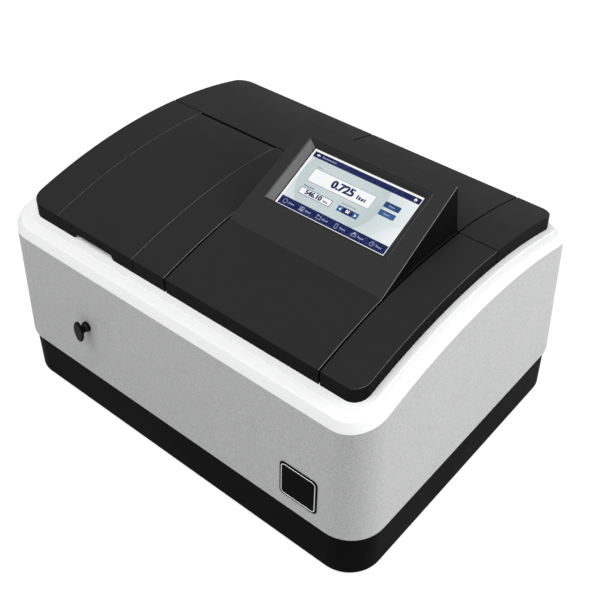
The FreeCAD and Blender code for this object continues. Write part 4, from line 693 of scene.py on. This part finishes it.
def foot_icons():
    v = sum(FOOT_BAR) / 2
    for k, u in enumerate(ICON_PLACES):
        word_marks("icon_word_%d" % k, u + 4.4, u + 10.6, v - 1.0, 1.9, ON_MARK, PALE)
    lens, store, folder, cell, tray, dial = ICON_PLACES
    ring("icon_ring", lens, v, 2.5, 2.0, ON_MARK, PALE)
    outline("icon_store", store - 2.5, store + 2.5, v - 2.3, v + 2.3, 0.55, ON_MARK, PALE, NAVY)
    pane("icon_store_bar", store - 1.3, store + 1.3, v - 1.7, v - 0.1, ON_ICON_BAR, PALE)
    pane("icon_store_tab", store - 1.0, store + 1.0, v + 0.7, v + 1.9, ON_ICON_BAR, PALE)
    outline("icon_folder", folder - 2.6, folder + 2.6, v - 2.1, v + 1.7, 0.5, ON_MARK, PALE, NAVY)
    pane("icon_folder_tab", folder - 2.6, folder - 0.6, v + 1.5, v + 2.4, ON_MARK, PALE, 0.2)
    outline("icon_cell", cell - 1.5, cell + 1.5, v - 2.6, v + 2.4, 0.5, ON_MARK, PALE, NAVY)
    outline("icon_tray", tray - 2.6, tray + 2.6, v - 1.8, v + 0.8, 0.5, ON_MARK, PALE, NAVY)
    pane("icon_sheet", tray - 1.4, tray + 1.4, v + 0.5, v + 2.5, ON_MARK, PALE, 0.2)
    ring("icon_dial", dial, v, 2.5, 2.0, ON_MARK, PALE)
    pane("icon_dial_hand", dial - 0.25, dial + 0.25, v, v + 1.5, ON_MARK, PALE)
    pane("icon_dial_hour", dial, dial + 1.2, v - 0.25, v + 0.25, ON_MARK, PALE)


def build_screen():
    half = BORDER / 2
    pane("screen_backdrop", half, PICTURE_W - half, half, PICTURE_H - half, ON_BACKDROP, BACKDROP)
    frame_bar(ON_EDGE)
    pane("screen_top_bar", BORDER, PICTURE_W - BORDER, *TOP_BAR, ON_BAR, NAVY)
    pane("screen_foot_bar", BORDER, PICTURE_W - BORDER, *FOOT_BAR, ON_BAR, NAVY)
    back_mark(7.6, 63.2)
    word_marks("title_word", 12.4, 29.0, 62.4, 1.9, ON_MARK, PALE)
    home_mark(119.6, 63.2)
    outline("reading_box", 13.4, 85.8, 34.9, 50.3, 0.45, ON_BAR, GREY, BOX_WHITE, 1.2)
    digits("reading_digits", "0.725", 51.5, 42.5, 11.6, ON_INK, INK)
    word_marks("reading_unit", 68.4, 78.0, 39.2, 4.6, ON_INK, INK, 0.34)
    word_marks("reading_caption", 14.2, 19.6, 51.8, 1.2, ON_BAR, GREY)
    outline("wavelength_box", 13.4, 50.8, 19.9, 27.6, 0.55, ON_BAR, INK, BOX_WHITE, 0.9)
    digits("wavelength_digits", "546.10", 29.8, 23.7, 7.0, ON_INK, INK)
    word_marks("wavelength_unit", 42.0, 47.2, 22.0, 2.1, ON_INK, INK)
    word_marks("wavelength_caption", 14.6, 25.4, 29.2, 1.5, ON_BAR, INK)
    pane("cell_middle", 64.2, 76.4, 20.6, 26.8, ON_BAR, INK)
    pane("cell_left", 58.5, 64.4, 20.6, 26.8, ON_EDGE, ARROW_BLUE, 0.3)
    pane("cell_right", 76.0, 81.9, 20.6, 26.8, ON_EDGE, ARROW_BLUE, 0.3)
    triangle("cell_arrow_left", 61.7, 23.7, 3.2, 2.5, 90, ON_ARROW, LIGHT)
    triangle("cell_arrow_right", 78.7, 23.7, 3.2, 2.5, -90, ON_ARROW, LIGHT)
    digits("cell_digits", "01", 70.2, 23.8, 4.4, ON_CELL_DIGITS, LIGHT)
    word_marks("cell_caption", 59.0, 75.6, 29.2, 1.5, ON_BAR, GREY)
    for name, v in (("upper", 44.0), ("lower", 35.0)):
        pane("button_" + name, 95.9, 113.2, v, v + 6.1, ON_EDGE, BLUE, 0.6)
        word_marks("button_%s_word" % name, 101.2, 107.0, v + 2.2, 1.9, ON_MARK, PALE)
    foot_icons()


build_screen()


# The bare badge's thin silver border

BADGE_MARGIN = 1.6
BADGE_CORNER = 4.4
BADGE_LINE = 0.9
BADGE_PROUD = 0.25
BADGE_EASE = 0.12
BADGE_LIFT = 0.01


def badge_border():
    mesh = frame["nodes"]["badge_plate"].data
    face = max((p for p in mesh.polygons if p.normal.y < -0.5), key=lambda p: p.area)
    low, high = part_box("badge_plate")
    lean = math.atan2(face.normal.z, -face.normal.y)
    out = face.normal.copy()
    middle = Vector(((low.x + high.x) / 2, 0, (low.z + high.z) / 2))
    middle.y = (face.center.dot(out) - middle.dot(out)) / out.y
    side = high.x - low.x - 2 * BADGE_MARGIN * MM
    nothing_selected()
    bpy.ops.mesh.primitive_plane_add(size=1, location=(0, 0, 0))
    border = bpy.context.object
    border.name = "badge_border"
    edit(border, "VERT")
    bpy.ops.mesh.select_all(action="SELECT")
    bpy.ops.transform.resize(value=(side, side, 1))
    bpy.ops.mesh.bevel(offset=BADGE_CORNER * MM, segments=8, affect="VERTICES")
    bpy.ops.mesh.select_mode(type="FACE")
    bpy.ops.mesh.select_all(action="SELECT")
    bpy.ops.mesh.inset(thickness=BADGE_LINE * MM)
    bpy.ops.mesh.delete(type="FACE")
    bpy.ops.mesh.select_all(action="SELECT")
    thicken(BADGE_PROUD * MM)
    apply_modifier(border, "BEVEL", width=BADGE_EASE * MM, segments=EASE_SEGMENTS, limit_method="ANGLE",
                   angle_limit=math.radians(50))
    turn = Matrix.Rotation(math.radians(90) - lean, 4, "X")
    border.matrix_world = Matrix.Translation(middle + out * BADGE_LIFT * MM) @ turn
    finish_piece(border, "instrument", SILVER)


badge_border()
for skin_node, ease in EASED.items():
    eased_copy(skin_node, ease * MM)


# Floor, light and camera

AIM = (0, 0, 0.1)
KEY_PLACE = (-0.1, -0.85, 1.9)
KEY_SIZE = 1.5
KEY_POWER = 24
SIDE_PLACE = (1.75, 0.72, 1.0)
SIDE_SIZE = 1.2
SIDE_POWER = 23.5
FILL = 0.35
FLOOR_SIZE = 14
FLOOR_SHADE = 0.36
FLOOR_GLOW = 0.83
FLOOR_BOUNCE = 0.45

# The camera's place from the middle of the instrument's foot, in metres, and its turn in degrees
CAMERA_AWAY = (0.52980, -0.61654, 0.82878)
CAMERA_DOWN = 38.592
CAMERA_ROUND = 39.768
CAMERA_LENS = 62.18
CAMERA_SHIFT = -0.1


def any_ray(tree, first, *others):
    """One where the light's path is of any of these kinds, else nought."""
    path = tree.nodes.new("ShaderNodeLightPath")
    value = path.outputs[first]
    for kind in others:
        most = tree.nodes.new("ShaderNodeMath")
        most.operation = "MAXIMUM"
        tree.links.new(value, most.inputs[0])
        tree.links.new(path.outputs[kind], most.inputs[1])
        value = most.outputs[0]
    return value


def floor_material():
    """Pale floor: near white where it is looked at or mirrored, a mid grey for the light it throws back."""
    material = bpy.data.materials.new("pale_floor")
    material.use_nodes = True
    tree = material.node_tree
    tree.nodes.clear()
    out = tree.nodes.new("ShaderNodeOutputMaterial")
    shade = tree.nodes.new("ShaderNodeBsdfDiffuse")
    shade.inputs["Color"].default_value = (FLOOR_SHADE, FLOOR_SHADE, FLOOR_SHADE, 1)
    glow = tree.nodes.new("ShaderNodeEmission")
    glow.inputs["Strength"].default_value = FLOOR_GLOW
    pale = tree.nodes.new("ShaderNodeAddShader")
    bounce = tree.nodes.new("ShaderNodeBsdfDiffuse")
    bounce.inputs["Color"].default_value = (FLOOR_BOUNCE, FLOOR_BOUNCE, FLOOR_BOUNCE, 1)
    mix = tree.nodes.new("ShaderNodeMixShader")
    tree.links.new(shade.outputs[0], pale.inputs[0])
    tree.links.new(glow.outputs[0], pale.inputs[1])
    tree.links.new(any_ray(tree, "Is Camera Ray", "Is Glossy Ray"), mix.inputs[0])
    tree.links.new(bounce.outputs[0], mix.inputs[1])
    tree.links.new(pale.outputs[0], mix.inputs[2])
    tree.links.new(mix.outputs[0], out.inputs["Surface"])
    return material


def make_floor():
    nothing_selected()
    bpy.ops.mesh.primitive_plane_add(size=FLOOR_SIZE, location=(0, 0, 0))
    floor = bpy.context.object
    floor.name = "floor"
    floor.data.materials.append(floor_material())


def make_world():
    world = bpy.data.worlds.new("studio")
    bpy.context.scene.world = world
    world.use_nodes = True
    tree = world.node_tree
    tree.nodes.clear()
    out = tree.nodes.new("ShaderNodeOutputWorld")
    shown = tree.nodes.new("ShaderNodeBackground")
    shown.inputs["Color"].default_value = (1, 1, 1, 1)
    shown.inputs["Strength"].default_value = 1.0
    fill = tree.nodes.new("ShaderNodeBackground")
    fill.inputs["Color"].default_value = (0.97, 0.98, 1.0, 1)
    fill.inputs["Strength"].default_value = FILL
    mix = tree.nodes.new("ShaderNodeMixShader")
    clear = any_ray(tree, "Is Camera Ray", "Is Glossy Ray", "Is Transmission Ray")
    tree.links.new(clear, mix.inputs[0])
    tree.links.new(fill.outputs[0], mix.inputs[1])
    tree.links.new(shown.outputs[0], mix.inputs[2])
    tree.links.new(mix.outputs[0], out.inputs["Surface"])


def soft_box(name, place, size, power):
    nothing_selected()
    bpy.ops.object.light_add(type="AREA", location=place)
    lamp = bpy.context.object
    lamp.name = name
    lamp.data.shape = "SQUARE"
    lamp.data.size = size
    lamp.data.energy = power
    direction = Vector(AIM) - Vector(place)
    lamp.rotation_euler = direction.to_track_quat("-Z", "Y").to_euler()


def make_camera():
    nothing_selected()
    away_x, away_y, height = CAMERA_AWAY
    bpy.ops.object.camera_add(location=(MIDDLE.x + away_x, MIDDLE.y + away_y, height),
                              rotation=(math.radians(90 - CAMERA_DOWN), 0, math.radians(CAMERA_ROUND)))
    camera = bpy.context.object
    camera.name = "view_camera"
    camera.data.sensor_width = 36.0
    camera.data.lens = CAMERA_LENS
    camera.data.shift_y = CAMERA_SHIFT
    camera.data.clip_end = 30.0
    bpy.context.scene.camera = camera


make_floor()
make_world()
soft_box("overhead_soft_box", KEY_PLACE, KEY_SIZE, KEY_POWER)
soft_box("right_soft_box", SIDE_PLACE, SIDE_SIZE, SIDE_POWER)
make_camera()
bpy.context.scene.view_settings.view_transform = "Standard"

nothing_selected()
bpy.context.view_layer.update()
